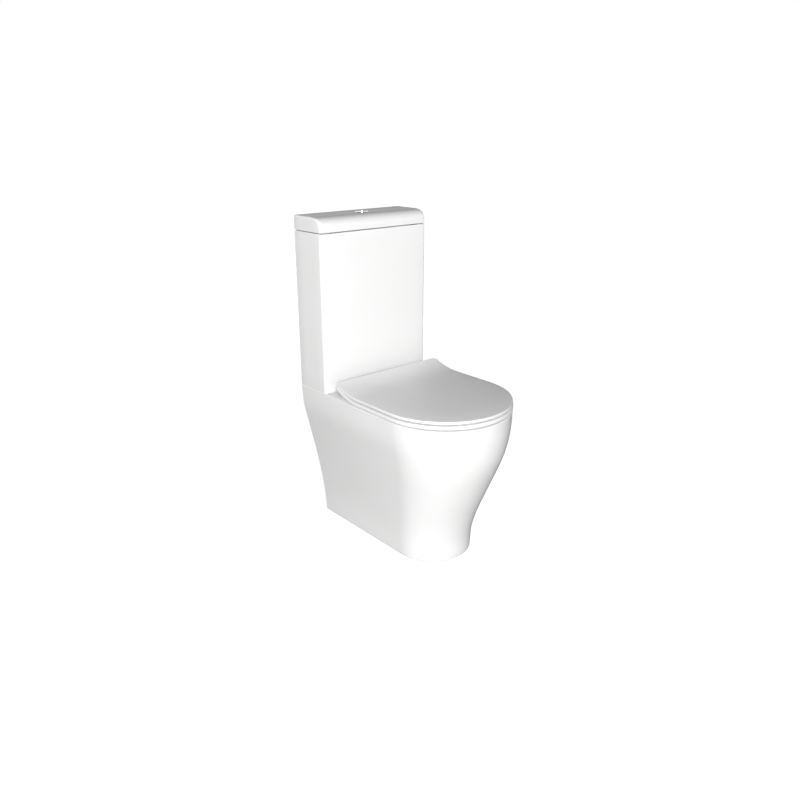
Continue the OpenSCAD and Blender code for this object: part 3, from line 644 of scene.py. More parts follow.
def make_pan():
    guide = d_outline(HALF, DEPTH, 0.0, PAN_CORNER)
    pan = pan_skin(guide)
    void_levels = [-PAST] + [mix(2 * MM, RIM - DECK, i / 16) for i in range(17)]
    void = loft("void", [pan_ring(z, PAN_WALL, -20 * MM, 12 * MM) for z in void_levels])
    base = [ring_at(grown_oval(bowl_size(BOWL_BOTTOM), grow, guide), BOWL_BOTTOM - drop)
            for grow, drop in ((-6 * MM, 17 * MM), (4 * MM, 14 * MM), (9 * MM, 8 * MM))]
    carve(void, loft("cutter", base + [bowl_ring(mix(BOWL_BOTTOM, RIM - DECK / 2, i / 20), guide, BOWL_WALL)
                                       for i in range(21)]))
    carve(void, trap_skin(TRAP_WALL, 0.0))
    carve(void, drum(57 * MM, RECESS_FLOOR - RECESS_WALL, RIM, VALVE_AXIS))
    carve(void, drum(DROP_RADIUS + CHANNEL_WALL, CHANNEL_HEIGHT, RIM, VALVE_AXIS))
    carve(void, drum_along_y(CHANNEL_RADIUS + CHANNEL_WALL, off(234 * MM), off(28 * MM), (0, CHANNEL_HEIGHT)))
    carve(pan, void)
    carve(pan, drum_along_y(OUTLET_SOCKET, off(OUTLET_MOUTH), WALL + 10 * MM, (0, OUTLET_HEIGHT * MM)))
    carve(pan, trap_skin(0.0, -10 * MM))
    carve(pan, drum(RECESS_RADIUS, RECESS_FLOOR, RIM + PAST, VALVE_AXIS))
    carve(pan, drum(DROP_RADIUS, CHANNEL_HEIGHT, RIM, VALVE_AXIS))
    carve(pan, drum_along_y(CHANNEL_RADIUS, off(259 * MM), off(TANK_MID), (0, CHANNEL_HEIGHT)))
    for x, d, radius in ((COUPLING_X, TANK_MID, BOLT_HOLE), (-COUPLING_X, TANK_MID, BOLT_HOLE),
                         (HINGE_X, HINGE_OFF, BOLT_HOLE), (-HINGE_X, HINGE_OFF, BOLT_HOLE),
                         (FILL_X, TANK_MID, FILL_HOLE)):
        carve(pan, drum(radius, RIM - 2 * DECK, RIM + PAST, (x, off(d))))
    return place(pan, "fixture", "china", CHINA, "pan")


# ------------------------ cistern

TANK_WALL = 9 * MM
TANK_FLOOR = 14 * MM
FRONT_EDGE = 9 * MM
REAR_EDGE = 3 * MM
UNDER_EDGE = 1.5 * MM
TOP_EDGE = 2 * MM
FLOOR_ROUND = 7 * MM
VALVE_HOLE = 31 * MM
INLET_HOLE = 12 * MM
SCREW_HOLE = 4 * MM
SCREW_PLACE = (110 * MM, 790 * MM)  # off the middle, height


def quarter(radius, steps=5):
    """(inset, drop) pairs round a quarter turn, from an edge's side to its top."""
    pairs = []
    for i in range(steps + 1):
        a = math.radians(90 * i / steps)
        pairs.append((radius * (1 - math.cos(a)), radius * (1 - math.sin(a))))
    return pairs


def cistern_ring(z, side_inset, front, rear_inset):
    """One level of the cistern or its lid; front is a distance off the wall."""
    outline = box_outline(HALF - side_inset, front, rear_inset, max(1.5 * MM, FRONT_EDGE - side_inset),
                          max(1.0 * MM, REAR_EDGE - rear_inset * 0.3))
    return ring_at(outline, z)


def tank_ring(z, inset):
    return cistern_ring(z, inset, TANK_DEPTH - inset, inset)


def make_tank():
    low, high = TANK_LOW.z, TANK_HIGH.z
    rings = [tank_ring(low + drop, inset) for inset, drop in reversed(quarter(UNDER_EDGE))]
    rings += [tank_ring(mix(low, high, t), 0) for t in (0.1, 0.5, 0.9)]
    rings += [tank_ring(high - drop, inset) for inset, drop in quarter(TOP_EDGE)]
    rings += [tank_ring(high - drop, TANK_WALL - inset) for inset, drop in reversed(quarter(TOP_EDGE))]
    rings += [tank_ring(mix(high, low + TANK_FLOOR, t), TANK_WALL) for t in (0.1, 0.5, 0.9)]
    rings += [tank_ring(low + TANK_FLOOR + drop, TANK_WALL + inset) for inset, drop in quarter(FLOOR_ROUND)]
    tank = loft("cistern_tank", rings)
    for x, radius in ((0, VALVE_HOLE), (COUPLING_X, BOLT_HOLE), (-COUPLING_X, BOLT_HOLE), (FILL_X, INLET_HOLE)):
        carve(tank, drum(radius, low - PAST, low + 2 * TANK_FLOOR, (x, off(TANK_MID))))
    for side in (-1, 1):
        carve(tank, drum_along_y(SCREW_HOLE, off(2 * TANK_WALL), WALL + PAST,
                                 (side * SCREW_PLACE[0], SCREW_PLACE[1])))
    return place(tank, "fixture", "china", CHINA, "cistern_tank")


LID_RUN = 41 * MM  # the front rounding, from front to back
LID_DROP = 28 * MM  # the front rounding's height
LID_FULLNESS = 2 / 2.35  # 1 is a quarter ellipse
LID_EDGE = 4 * MM
LID_UNDER = LID_HIGH.z - TANK_WALL
BOSS_RADIUS = 30 * MM
BOSS_UNDER = LID_UNDER - 2.5 * MM
BUTTON_HOLE = 19.5 * MM


def make_lid():
    low, high = LID_LOW.z, LID_HIGH.z
    rings = [tank_ring(low + drop, inset) for inset, drop in reversed(quarter(UNDER_EDGE))]
    rings += [tank_ring(mix(low + 2 * MM, high - LID_DROP, t), 0) for t in (0.2, 0.6, 1.0)]
    for i in range(1, 25):  # the long rounding of the front
        a = math.radians(90 * i / 24)
        z = high - LID_DROP + LID_DROP * math.sin(a) ** LID_FULLNESS
        rise = max(0.0, z - (high - LID_EDGE))
        inset = LID_EDGE - math.sqrt(max(0.0, LID_EDGE ** 2 - rise ** 2))
        reach = TANK_DEPTH - LID_RUN * (1 - max(0.0, math.cos(a)) ** LID_FULLNESS)
        rings.append(cistern_ring(z, inset, reach, inset * 0.6))
    rings.reverse()
    rings += [tank_ring(low, TANK_WALL - 1 * MM), tank_ring(low + 1 * MM, TANK_WALL)]
    for i in range(17):  # the hollow follows the rounding
        a = math.radians(90 * i / 16)
        z = LID_UNDER - (LID_DROP - 2 * MM) * (1 - math.sin(a))
        front = TANK_DEPTH - TANK_WALL - (LID_RUN - TANK_WALL) * (1 - math.cos(a))
        rings.append(cistern_ring(z, TANK_WALL, front, TANK_WALL))
    lid = loft("cistern_lid", rings)
    boss = loft("boss", [circle(VALVE_AXIS, radius, z) for radius, z in (
        (BUTTON_HOLE, BOSS_UNDER), (BOSS_RADIUS - MM, BOSS_UNDER), (BOSS_RADIUS, BOSS_UNDER + MM),
        (BOSS_RADIUS, LID_UNDER + MM), (BUTTON_HOLE, LID_UNDER + MM))], closed=True)
    carve(lid, drum(BUTTON_HOLE, LID_UNDER - PAST, high + PAST, VALVE_AXIS))
    lid = join("cistern_lid", [lid, boss])
    return place(lid, "lid", "china", CHINA, "cistern_lid")


# ------------------------ seat

SWEEP_START = 264 * MM  # behind this the seat rises
SWEEP_POWER = 2.2
RING_REAR = 164 * MM
SEAT_CORNER = 10 * MM
SEAT_GAP = 3 * MM
RING_UNDER = RIM + SEAT_GAP
RING_OVER = RING_UNDER + 10.5 * MM
COVER_UNDER = RING_OVER + SEAT_GAP
COVER_OVER = COVER_UNDER + 8 * MM
RING_T = RING_OVER - RING_UNDER
COVER_T = COVER_OVER - COVER_UNDER
RING_RISE = (27 * MM, 24 * MM)  # the rear's rise, of the underside and of the top
COVER_RISE = (23 * MM, 21 * MM)
COVER_INSET = 2 * MM
COVER_SETBACK = 1 * MM
SEAT_EDGE = 0.8 * MM
COVER_UNDER_EDGE = 2.2 * MM
RING_UNDER_EDGE = 3 * MM
OPENING = (118 * MM, 512 * MM, 262 * MM)  # half width, front, rear
OPENING_EDGE = 5 * MM
OPENING_UNDER_EDGE = 3 * MM
RING_DISH = 2.6 * MM  # how far the ring falls to its opening
CROWN = 3.5 * MM
CROWN_RUN = 45 * MM
HINGE_HEIGHT = 444 * MM
BARREL_RADIUS = 6 * MM
BARREL_LENGTH = 12 * MM
PIN_BORE = 3.06 * MM
KNUCKLE_X = 98 * MM
EAR_X = 58 * MM
WEB_EDGE = 0.8 * MM


def sweep(d):
    return (max(0.0, SWEEP_START - d) / (SWEEP_START - RING_REAR)) ** SWEEP_POWER


def lifted(outline, low, high, low_rise, high_rise, share):
    """Outline points at a share of the seat's thickness, following its upswept rear."""
    return [Vector((x, off(d), mix(low + low_rise * sweep(d), high + high_rise * sweep(d), share)))
            for x, d in outline]


def edge_pairs(thick, under, over):
    """(inset, share of thickness) up a rounded edge, from the underside to the top."""
    pairs = [(inset, drop / thick) for inset, drop in reversed(quarter(under, 4))]
    pairs += [(inset, 1 - drop / thick) for inset, drop in quarter(over, 6)]
    return pairs


def seat_outline(inset, rear):
    return d_outline(SEAT_HALF - inset, DEPTH - inset, rear, max(2 * MM, SEAT_CORNER - inset))


def blend_outlines(a, b, t):
    return [(mix(p[0], q[0], t), mix(p[1], q[1], t)) for p, q in zip(a, b)]


def make_ring():
    guide = seat_outline(0, RING_REAR)

    def outer(inset):
        return seat_outline(inset, RING_REAR + inset)

    def inner(inset):
        return grown_oval(OPENING, inset, guide)

    def level(outline, share):
        return lifted(outline, RING_UNDER, RING_OVER, *RING_RISE, share)

    rings = [level(outer(inset), share) for inset, share in edge_pairs(RING_T, RING_UNDER_EDGE, SEAT_EDGE)]
    last_out, last_in = outer(SEAT_EDGE), inner(OPENING_EDGE)
    for i in range(1, 14):  # the top, falling towards the opening
        fall = 2.4 * MM / RING_T * max(0, i / 14 - 0.3) ** 2
        rings.append(level(blend_outlines(last_out, last_in, i / 14), 1 - fall))
    rings += [level(inner(inset), share * (1 - RING_DISH / RING_T))
              for inset, share in reversed(edge_pairs(RING_T, OPENING_UNDER_EDGE, OPENING_EDGE))]
    first_out, first_in = outer(RING_UNDER_EDGE), inner(OPENING_UNDER_EDGE)
    rings += [level(blend_outlines(first_in, first_out, i / 12), 0) for i in range(1, 12)]
    ring = loft("seat_ring", rings, closed=True)
    for side in (-1, 1):  # room for the hinge blocks
        carve(ring, block(side * 70.75 * MM, off(HINGE_OFF), 450 * MM, 41.5 * MM, 40 * MM, 60 * MM, 1 * MM))
    knuckles = [barrel(side * KNUCKLE_X) for side in (-1, 1)]
    knuckles += [block(side * KNUCKLE_X, off(169 * MM), 446.5 * MM, BARREL_LENGTH, 10 * MM, 11 * MM, WEB_EDGE)
                 for side in (-1, 1)]
    ring = join("seat_ring", [ring] + knuckles)
    return place(ring, "ring", "seat_plastic", SEAT, "seat_ring")


def block(x, y, z, width, depth, height, edge):
    """A box with softened edges about its middle."""
    work = bmesh.new()
    bmesh.ops.create_cube(work, size=1)
    bmesh.ops.scale(work, vec=(width, depth, height), verts=work.verts)
    bmesh.ops.bevel(work, geom=work.edges[:], offset=edge, segments=3, affect="EDGES", profile=0.5)
    bmesh.ops.translate(work, vec=(x, y, z), verts=work.verts)
    mesh = bpy.data.meshes.new("block")
    work.to_mesh(mesh)
    work.free()
    smooth(mesh)
    return added("block", mesh)


def barrel(x, edge=0.8 * MM, steps=40):
    """A hinge barrel along X with chamfered ends and a through bore."""
    half = BARREL_LENGTH / 2
    profile = [(PIN_BORE, -half), (BARREL_RADIUS - edge, -half), (BARREL_RADIUS, -half + edge),
               (BARREL_RADIUS, half - edge), (BARREL_RADIUS - edge, half), (PIN_BORE, half)]
    rings = [[Vector((x + w, off(HINGE_OFF) + r * math.cos(TURN * i / steps),
                      HINGE_HEIGHT + r * math.sin(TURN * i / steps))) for i in range(steps)]
             for r, w in profile]
    return loft("barrel", rings, closed=True)


def make_cover():
    def outline(inset):
        grow = COVER_INSET + inset
        return d_outline(SEAT_HALF - grow, DEPTH - grow, RING_REAR + COVER_SETBACK + inset,
                         max(2 * MM, SEAT_CORNER - inset))

    def level(inset, share):
        points = lifted(outline(inset), COVER_UNDER, COVER_OVER, *COVER_RISE, share)
        if share == 1:
            crown = CROWN * (1 - math.exp(-max(0.0, inset - SEAT_EDGE) / CROWN_RUN))
            for point in points:
                point.z += crown * (1 - sweep(WALL - point.y))
        return points

    rings = [level(inset, share) for inset, share in edge_pairs(COVER_T, COVER_UNDER_EDGE, SEAT_EDGE)]
    inward = (20, 25, 31, 38, 46, 55, 65, 77, 90, 105, 122, 140, 160)
    rings += [level(inset * MM, 1) for inset in (3, 5, 8, 11, 15) + inward]
    rings.reverse()
    recess = 0.24  # its depth, as a share of the thickness
    under = [(3, 0), (6, 0), (10, 0), (12.5, 0.06), (14, 0.2), (16, recess)]
    rings += [level(inset * MM, share) for inset, share in under + [(inset, recess) for inset in inward]]
    cover = loft("seat_cover", rings)
    ears = []
    for x in (-EAR_X, EAR_X):
        ears += [barrel(x), block(x, off(169.5 * MM), HINGE_HEIGHT + 7.5 * MM, BARREL_LENGTH, 9 * MM, 15 * MM,
                                  WEB_EDGE)]
    cover = join("seat_cover", [cover] + ears)
    return place(cover, "cover", "seat_plastic", SEAT, "seat_cover")


# ------------------------ fittings, in millimetres

RECORD = frame["record"]
BODY_OF = {node: body for body, nodes in RECORD["behaviour"]["bodies"].items() for node in nodes}
SLOT_OF = {entry["node"]: entry["material_slot"] for entry in RECORD["subparts"]}
MIDDLE = TANK_MID / MM


def fit(node, *parts):
    """Joins the parts into the piece that stands for a CAD node."""
    slot = SLOT_OF[node]
    return place(join(node, parts), BODY_OF[node], slot, FINISHES[slot], node)


def spot(x, distance=MIDDLE, z=0):
    """A place in the frame: x, distance off the wall, height."""
    return Vector((x * MM, off(distance * MM), z * MM))


def rounded(profile, radius):
    """A closed outline with its corners eased, apart from those on the axis."""
    points = []
    for i, corner in enumerate(profile):
        here, before, after = Vector(corner), Vector(profile[i - 1]), Vector(profile[(i + 1) % len(profile)])
        if here.x == 0:
            points.append(here)
            continue
        a = here + (before - here).normalized() * min(radius, (before - here).length * 0.45)
        b = here + (after - here).normalized() * min(radius, (after - here).length * 0.45)
        points += [a, here * 0.5 + (a + b) * 0.25, b]
    return points


def turned(profile, at, axis="z", edge=0.5, steps=48):
    """A turned solid with eased corners; profile is (radius, place along the axis)."""
    rings = []
    for r, w in rounded(profile, edge):
        ring = []
        for i in range(steps):
            p, q = r * math.cos(TURN * i / steps), r * math.sin(TURN * i / steps)
            ring.append(at + MM * Vector({"x": (w, p, q), "y": (p, w, q), "z": (p, q, w)}[axis]))
        rings.append(ring)
    return loft("turned", rings, closed=True)


def tube(outer, bore, low, high):
    """The outline of a tube for turned, or of a solid bar when its bore is 0."""
    return [(bore, low), (outer, low), (outer, high), (bore, high)]


def pin(radius, half, at, axis):
    return turned(tube(radius, 0, -half, half), at, axis, steps=32)


def bar(x, d, z, width, deep, height, edge=0.8):
    """A bar with eased edges about its middle."""
    return block(x * MM, off(d * MM), z * MM, width * MM, deep * MM, height * MM, edge * MM)


def threaded(radius, bore, low, high, at, pitch=2.0, depth=0.7, steps=28):
    """A screw thread, solid when its bore is 0."""
    count = int((high - low) / pitch * 5)
    rings = []
    for k in range(count + 1):
        z = mix(low, high, k / count)
        cut = depth * min(1, 0.2 + (z - low) / pitch, 0.2 + (high - z) / pitch)
        ring = []
        for i in range(steps):
            r = radius - cut * abs(2 * (((z - low) / pitch - i / steps) % 1) - 1)
            ring.append(at + MM * Vector((r * math.cos(TURN * i / steps), r * math.sin(TURN * i / steps), z)))
        rings.append(ring)
    if bore:
        rings += [[at + MM * Vector((bore * math.cos(TURN * i / steps), bore * math.sin(TURN * i / steps), z))
                   for i in range(steps)] for z in (high, low)]
    return loft("threaded", rings, closed=bool(bore), sharp=50)


def hexed(corner, bore, low, high, at, steps=48):
    """A hexagonal nut with the usual turned chamfers."""
    flat = corner * math.cos(math.radians(30))
    chamfer = (corner - flat) * 0.5
    ease_in = 0.6

    def ring(limit, z):
        points = []
        for i in range(steps):
            a = TURN * i / steps
            r = min(limit, flat / math.cos((a % (TURN / 6)) - TURN / 12))
            points.append(at + MM * Vector((r * math.cos(a), r * math.sin(a), z)))
        return points

    return loft("hexed", [ring(bore, low + ease_in), ring(bore + ease_in, low), ring(flat * 0.98, low),
                          ring(corner, low + chamfer), ring(corner, high - chamfer), ring(flat * 0.98, high),
                          ring(bore + ease_in, high), ring(bore, high - ease_in)], closed=True)


def plate(points, thick, at, along="y", edge=0.5):
    """A flat shape of (across, up) points with eased edges, thick along Y or X."""
    cx = sum(p[0] for p in points) / len(points)
    cz = sum(p[1] for p in points) / len(points)
    rings = []
    levels = list(reversed(quarter(edge, 3))) + [(inset, thick - drop) for inset, drop in quarter(edge, 3)]
    for inset, drop in levels:
        ring = []
        for x, z in points:
            reach = math.hypot(x - cx, z - cz)
            u, v = cx + (x - cx) * (1 - inset / reach), cz + (z - cz) * (1 - inset / reach)
            step = (u, drop - thick / 2, v) if along == "y" else (drop - thick / 2, u, v)
            ring.append(at + MM * Vector(step))
        rings.append(ring)
    return loft("plate", rings)


def lugs(half, low, eye, thick, edge, bore, x, z, spread):
    """Two lugs with round tops and one bore through both, either side of the middle."""
    waist = mix(low, eye, 0.5)
    outline = [(-half, low), (0, low), (half, low), (half, waist)] + arc(0, eye, half, 0, 180, 14)
    outline.append((-half, waist))
    start, end = off((MIDDLE + 20) * MM), off((MIDDLE - 20) * MM)
    return [carve(plate(outline, thick, spot(x, MIDDLE - y, z), edge=edge),
                  drum_along_y(bore * MM, start, end, (x * MM, z * MM), 24)) for y in (-spread, spread)]


# A wing nut's wing in outline, in millimetres: out from the axis, up from its seat
WING = [(4, -9.8), (7, -13.5), (10.5, -15.7), (14.5, -16), (17.4, -14), (18, -10.5), (17.2, -6.5), (14.5, -3.8),
        (11, -3.2), (7.5, -2.8), (4, -1.4)]


BOLT_BORE = 4.06


def wing_nut(at, along):
    bore = BOLT_BORE
    hub = turned([(bore, -10), (7, -10), (8, -7.5), (8, 0), (bore, 0)], at, edge=0.8)
    wings = [plate([(side * x, z) for x, z in WING], 3, at, along, 1.2) for side in (-1, 1)]
    return [hub] + wings


def fit_pair(node, x, make):
    """Fits a node whose solids stand on the left and on the right."""
    parts = []
    for side in (-1, 1):
        made = make(side * x)
        parts += made if isinstance(made, list) else [made]
    fit(node, *parts)


def half_disc(side, radius, split, inset):
    """Half a disc, its straight edge a little off the middle."""
    near, r = split + inset, radius - inset
    limit = math.degrees(math.acos(near / r))
    points = arc(0, 0, r, -limit, limit, 36)
    points += [(near, mix(r, -r, i / 10) * math.sin(math.radians(limit))) for i in range(1, 10)]
    return [(side * x, y) for x, y in points]


LID_TOP = LID_HIGH.z / MM
BUTTON_RADIUS = 17.52
BUTTON_SPLIT = 0.5  # half the gap between the two buttons
BUTTON_DOME = 0.8
BUTTON_UNDER = LID_TOP - 4
BEZEL_FLOOR = LID_TOP - 25
BEZEL_FLOOR_TOP = BEZEL_FLOOR + 2
BEZEL_RADIUS = 19
ROD_X = 8.5
ROD_BORE = 3.06
PIVOT_Z = 728
PIVOT_X = 26


def make_button(node, side):
    low, edge, top = BUTTON_UNDER, LID_TOP + 0.7, LID_TOP + 1.17
    levels = [(0.3, low, 0), (0, low + 0.3, 0), (0, edge, 0), (0.12, edge + 0.28, 0), (0.4, edge + 0.42, 0.5)]
    levels += [(inset, top, 1) for inset in (0.9, 2, 3.5, 5, 6.5, 8)]
    rings = []
    for inset, z, dome in levels:
        rings.append([spot(0, z=z) + MM * Vector(
            (x, y, dome * BUTTON_DOME * (1 - (x * x + y * y) / BUTTON_RADIUS ** 2)))
            for x, y in half_disc(side, BUTTON_RADIUS, BUTTON_SPLIT, inset)])
    fit(node, loft(node, rings))


def make_spring(node, side):
    """A compression spring with closed ends, round its push rod."""
    coil, wire, turns, per_turn, sides = 5.4, 0.55, 7, 28, 10
    low, high = BEZEL_FLOOR_TOP + 0.6, BUTTON_UNDER - 0.6
    rings = []
    for k in range(turns * per_turn + 1):
        t = k / (turns * per_turn)
        spread = 0.82 * t + 0.18 * ease(t) - 0.03 * math.sin(TURN * t)
        a = TURN * turns * t
        ring = []
        for i in range(sides):
            b = TURN * i / sides
            r = coil + wire * math.cos(b)
            ring.append(spot(side * ROD_X) + MM * Vector((
                r * math.cos(a), r * math.sin(a), mix(low, high, spread) + wire * math.sin(b))))
        rings.append(ring)
    spring = fit(node, loft(node, rings))
    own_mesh(spring)


def make_push_rod(node, side):
    low, foot = PIVOT_Z + 3.3, 4.5
    fit(node, turned([(0, low), (foot, low), (foot, low + 12), (3, low + 12.8), (3, BUTTON_UNDER),
                      (0, BUTTON_UNDER)], spot(side * ROD_X), edge=0.6, steps=32))


def make_flush_buttons():
    bore, top = 17.6, LID_TOP + 1.6
    bezel = turned([(0, BEZEL_FLOOR), (BEZEL_RADIUS, BEZEL_FLOOR), (BEZEL_RADIUS, LID_TOP), (20, LID_TOP),
                    (20, LID_TOP + 0.7), (19.2, top), (bore, top), (bore, BEZEL_FLOOR_TOP), (0, BEZEL_FLOOR_TOP)],
                   spot(0), edge=0.35, steps=96)
    for side in (-1, 1):
        carve(bezel, drum(ROD_BORE * MM, (BEZEL_FLOOR - 2) * MM, (BEZEL_FLOOR_TOP + 2) * MM,
                          spot(side * ROD_X), 32))
    fit("button_bezel", bezel)
    seat = BOSS_UNDER / MM
    fit("button_nut", hexed(27, BEZEL_RADIUS + 0.06, seat - 10, seat, spot(0)))
    for name, side in (("full", 1), ("half", -1)):
        make_button(name + "_flush_button", side)
        make_spring(name + "_button_spring", side)
        make_push_rod(name + "_push_rod", side)


FLOOR_Z = (TANK_LOW.z + TANK_FLOOR) / MM
BASE_Z = FLOOR_Z + 3  # the top of the two valves' washers
DECK_UNDER = (RIM - DECK) / MM
RIM_Z = RIM / MM
TUBE_RADIUS = 15
TUBE_BORE = 12.5
LEVER_PIN = 2.5
LEVER_BORE = 2.56
VALVE_THREAD_BORE = 25


def make_flush_valve():
    base, bore = BASE_Z, VALVE_THREAD_BORE
    fit("valve_base", threaded(29.5, bore, RIM_Z - 22, base, spot(0), 3.2, 1.1, 64),
        turned([(bore, base), (44, base), (44, base + 6), (28, base + 6), (28, base + 11), (bore, base + 11)],
               spot(0), edge=0.9, steps=72))
    fit("valve_base_washer", turned(tube(40, 29.7, FLOOR_Z, base), spot(0), edge=0.8, steps=72))
    fit("valve_backnut", hexed(41, 29.56, RIM_Z - 14, RIM_Z, spot(0), 72))
    low, step = RIM_Z - 28, RIM_Z - 14.25
    fit("coupling_gasket", turned([(29.75, low), (49.75, low), (49.75, RIM_Z), (41.25, RIM_Z), (41.25, step),
                                   (29.75, step)], spot(0), edge=2, steps=72))
    seat, seal_top = base + 11, base + 15
    fit("overflow_tube", turned(tube(TUBE_RADIUS, TUBE_BORE, seal_top, 698), spot(0), edge=1))
    fit("flush_seal", turned([(TUBE_BORE, seat), (33, seat), (33, seat + 2), (30, seal_top),
                              (TUBE_BORE, seal_top)], spot(0), edge=0.8, steps=72))
    tower = [bar(x, MIDDLE + y, (base + 646) / 2, 5, 5, 640 - base - 5, 1)
             for x in (-28, 28) for y in (-28, 28)]
    tower += [turned(tube(43.5, 37.5, base + 76, base + 82), spot(0), edge=1, steps=72),
              turned([(15.06, 640), (44, 640), (44, 647), (41, 647), (40, 645.5), (20, 645.5), (19, 647),
                      (15.06, 647)], spot(0), edge=0.7, steps=72)]
    for x in (-PIVOT_X, PIVOT_X):
        tower += lugs(6, -87, 2, 3.6, 0.6, LEVER_BORE, x, PIVOT_Z, 7)
    fit("valve_tower", *tower)
    yoke = [turned(tube(18.5, TUBE_RADIUS, 656, 662), spot(0), edge=0.8)]
    for side, hook in ((1, 731.8), (-1, 747.5)):
        yoke += [bar(side * 42.5, MIDDLE, 659, 50, 8, 6),
                 bar(side * 66, MIDDLE, (660 + hook) / 2, 3, 8, hook - 656),
                 bar(side * 60.75, MIDDLE, hook + 2, 13.5, 8, 4)]
    fit("lift_yoke", *yoke)
    for name, side in (("full", 1), ("half", -1)):
        hub = spot(side * PIVOT_X, z=PIVOT_Z)
        parts = [bar(side * (PIVOT_X + x), MIDDLE, PIVOT_Z, width, 8, 4)
                 for x, width in ((-11.9, 14.5), (18.6, 28))]
        parts.append(turned(tube(5, LEVER_BORE, -4.8, 4.8), hub, "y"))
        parts += [pin(3, 4, hub + spot(side * x) - spot(0), "y") for x in (-17.5, 34)]
        fit(name + "_flush_lever", *parts)
    fit_pair("lever_pins", PIVOT_X, lambda x: pin(LEVER_PIN, 9.8, spot(x, z=PIVOT_Z), "y"))


def make_coupling():
    place_x, bore = COUPLING_X / MM, BOLT_BORE
    under, head = DECK_UNDER - 6, FLOOR_Z + 7

    def bolt(x):
        top = turned([(0, head), (9, head), (9, head + 2), (6.5, head + 4), (0, head + 4)], spot(x), edge=0.9)
        carve(top, bar(x, MIDDLE, head + 4, 14, 1.4, 2.4, 0.1))
        return [top, threaded(4, 0, 356, head + 0.5, spot(x))]

    fit_pair("coupling_bolts", place_x, bolt)
    fit_pair("coupling_bolt_seals", place_x, lambda x: turned(
        [(bore, FLOOR_Z), (12, FLOOR_Z), (10, head), (bore, head)], spot(x), edge=1))
    fit_pair("coupling_deck_washers", place_x, lambda x: turned(
        tube(14, bore, DECK_UNDER - 4, DECK_UNDER), spot(x), edge=0.9))
    fit_pair("coupling_washers", place_x, lambda x: turned(tube(12, bore, under, under + 2), spot(x)))
    fit_pair("coupling_wing_nuts", place_x, lambda x: wing_nut(spot(x, z=under), "y"))


BODY_BORE = 7
SHANK_RADIUS = 11
SHANK_BORE = 11.06  # of what fits round the shank
HEAD_Z = 736
FLOAT_LOW, FLOAT_HIGH = 560, 622
LINK_X = 102
ARM_X, ARM_Z = 142, 782  # the float arm's pin
ARM_DIP = 11.5  # degrees at rest
ARM_PIN = 2
ARM_BORE = 2.06


def make_fill_valve():
    at = spot(FILL_X / MM)
    base, bore = BASE_Z, BODY_BORE
    fit("fill_valve_body", threaded(10.4, bore, 372, 401, at, 1.8, 0.9, 40),
        turned(tube(9.8, bore, 400, RIM_Z - 16), at),
        threaded(SHANK_RADIUS, bore, RIM_Z - 17, base, at, 2.2, 0.9, 40),
        turned([(bore, base), (18, base), (18, base + 5), (12, base + 5), (12, HEAD_Z), (bore, HEAD_Z)],
               at, edge=0.9),
        turned(tube(15, 11, 552, 556), at, edge=0.8))
    fit("fill_valve_washer", turned(tube(17, SHANK_BORE, FLOOR_Z, base), at, edge=0.7))
    fit("fill_valve_locknut", hexed(18, SHANK_BORE, RIM_Z - 12, RIM_Z, at))
    low, top = HEAD_Z, HEAD_Z + 30
    cap = turned([(0, low + 19), (bore, low + 19), (bore, low), (17, low), (17, low + 6), (16.2, low + 7),
                  (16.2, low + 9), (17, low + 10), (17, low + 24), (14, top), (0, top)], at, edge=0.6)
    fit("fill_valve_head", cap, *lugs(6, -17.5, 0, 2.6, 0.5, ARM_BORE, ARM_X, ARM_Z, 6.5))
    low, high, bore = FLOAT_LOW, FLOAT_HIGH, 12.06
    fit("fill_float", turned([(bore, low), (26, low), (27, low + 2), (27, low + 28), (26.2, low + 29),
                              (26.2, low + 32), (27, low + 33), (27, high - 3), (25, high), (bore, high)],
                             at, edge=1, steps=64),
        bar(LINK_X + 1, MIDDLE, high - 4, 10, 8, 7.9))
    eye = ARM_Z - (ARM_X - LINK_X) * math.sin(math.radians(ARM_DIP))
    slotted = bar(LINK_X, MIDDLE, eye, 13, 3, 12, 0.6)
    carve(slotted, bar(LINK_X, MIDDLE, eye, 9, 10, 4.8, 0.4))
    rod_low, rod_high = high - 1, eye - 5
    fit("float_link_rod", bar(LINK_X, MIDDLE, (rod_low + rod_high) / 2, 3, 3, rod_high - rod_low, 0.5), slotted)
    pivot = spot(ARM_X, z=ARM_Z)
    parts = [bar(120, MIDDLE + y, ARM_Z, 44, 2.4, 6, 0.6) for y in (-3.4, 3.4)]
    parts += [bar(129, MIDDLE, ARM_Z, 18, 9.1, 5.9), pin(2, 4.6, spot(LINK_X, z=ARM_Z), "y"),
              turned(tube(4.5, ARM_BORE, -4.6, 4.6), pivot, "y")]
    arm = join("arm", parts)
    arm.data.transform(Matrix.Translation(pivot) @ Matrix.Rotation(math.radians(-ARM_DIP), 4, "Y")
                       @ Matrix.Translation(-pivot))
    fit("float_arm", arm)
    fit("float_arm_pin", pin(ARM_PIN, 8.8, pivot, "y"))


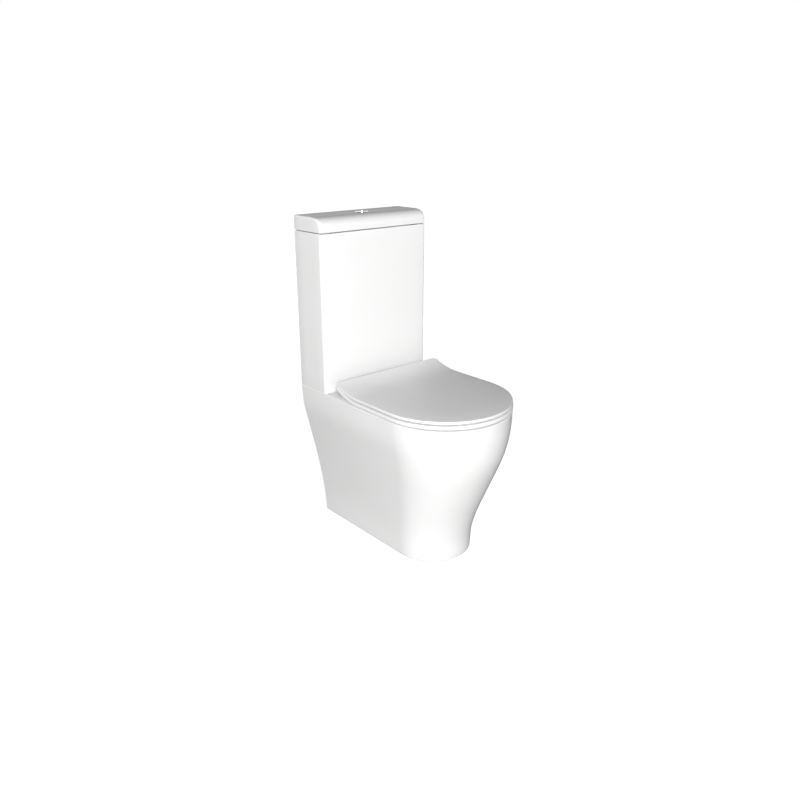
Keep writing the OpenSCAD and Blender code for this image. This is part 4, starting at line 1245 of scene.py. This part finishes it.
def make_hinges():
    x0, d0, z0 = HINGE_X / MM, HINGE_OFF / MM, HINGE_HEIGHT / MM
    plate_top, stem_top, under, bore = RIM_Z + 4, z0 - 5.2, DECK_UNDER - 7.5, BOLT_BORE
    seal_low = under + 1.5
    fit_pair("hinge_base_plates", x0, lambda x: turned(
        [(4.2, RIM_Z), (21, RIM_Z), (21, RIM_Z + 2), (19, plate_top), (4.2, plate_top)],
        spot(x, d0), edge=0.8, steps=72))
    fit_pair("hinge_blocks", x0, lambda x: [
        turned([(5.06, -11.25), (6.2, -11.25), (7, -10.4), (7, 10.4), (6.2, 11.25), (5.06, 11.25)],
               spot(x, d0, z0), "x", edge=0.3),
        bar(x, d0, (plate_top + stem_top) / 2, 16, 14, stem_top - plate_top, 2)])
    fit_pair("hinge_dampers", x0, lambda x: turned(tube(5, PIN_BORE / MM, -10.75, 10.75), spot(x, d0, z0), "x"))
    fit_pair("hinge_pins", 78, lambda x: pin(3, 26, spot(x, d0, z0), "x"))
    fit_pair("hinge_bolts", x0, lambda x: threaded(4, 0, 366, RIM_Z + 18, spot(x, d0)))
    fit_pair("hinge_bolt_seals", x0, lambda x: turned(
        [(bore, seal_low), (12, seal_low), (14, DECK_UNDER), (bore, DECK_UNDER)], spot(x, d0), edge=0.9))
    fit_pair("hinge_washers", x0, lambda x: turned(tube(11, bore, under, seal_low), spot(x, d0), edge=0.4))
    fit_pair("hinge_wing_nuts", x0, lambda x: wing_nut(spot(x, d0, under), "x"))


def buffers(places, radius, low, high):
    """Rubber feet on both sides, rounded in at the end that touches down."""
    profile = [(0, low), (radius - 1, low), (radius, low + 1.2), (radius, high), (0, high)]
    return [turned(profile, spot(side * x, d), edge=0.7) for x, d in places for side in (-1, 1)]


def make_pads():
    fit("lid_pads", *[bar(x, d, TANK_HIGH.z / MM + 1, 20, 6, 2, 0.6) for x in (-140, 140) for d in (4.5, 113.5)])
    fit("ring_buffers", *buffers([(148, 300), (112, 488)], 8, RIM_Z, RING_UNDER / MM))
    fit("cover_buffers", *buffers([(146, 320), (86, 512)], 6, RING_OVER / MM, COVER_UNDER / MM))


make_pan()
make_tank()
make_lid()
make_ring()
make_cover()
make_flush_buttons()
make_flush_valve()
make_coupling()
make_fill_valve()
make_hinges()
make_pads()

# A white card over the lid, seen only in the flush buttons and their rim
CARD_REACH = 3.0
CARD_SIZE = 1.5
CARD_POWER = 5.2
BUTTONS = Vector((0, off(TANK_MID), LID_HIGH.z))
TOWARDS_CARD = Vector((math.sin(CAMERA_TURN), math.cos(CAMERA_TURN), math.tan(CAMERA_DIP))).normalized()
card = area_light("card", BUTTONS + CARD_REACH * TOWARDS_CARD, BUTTONS, CARD_SIZE, CARD_POWER)
card.light_linking.receiver_collection = bpy.data.collections.new("chrome_pieces")
for piece in list(bpy.data.objects):
    if piece.type == "MESH" and CHROME.name in piece.data.materials:
        card.light_linking.receiver_collection.objects.link(piece)
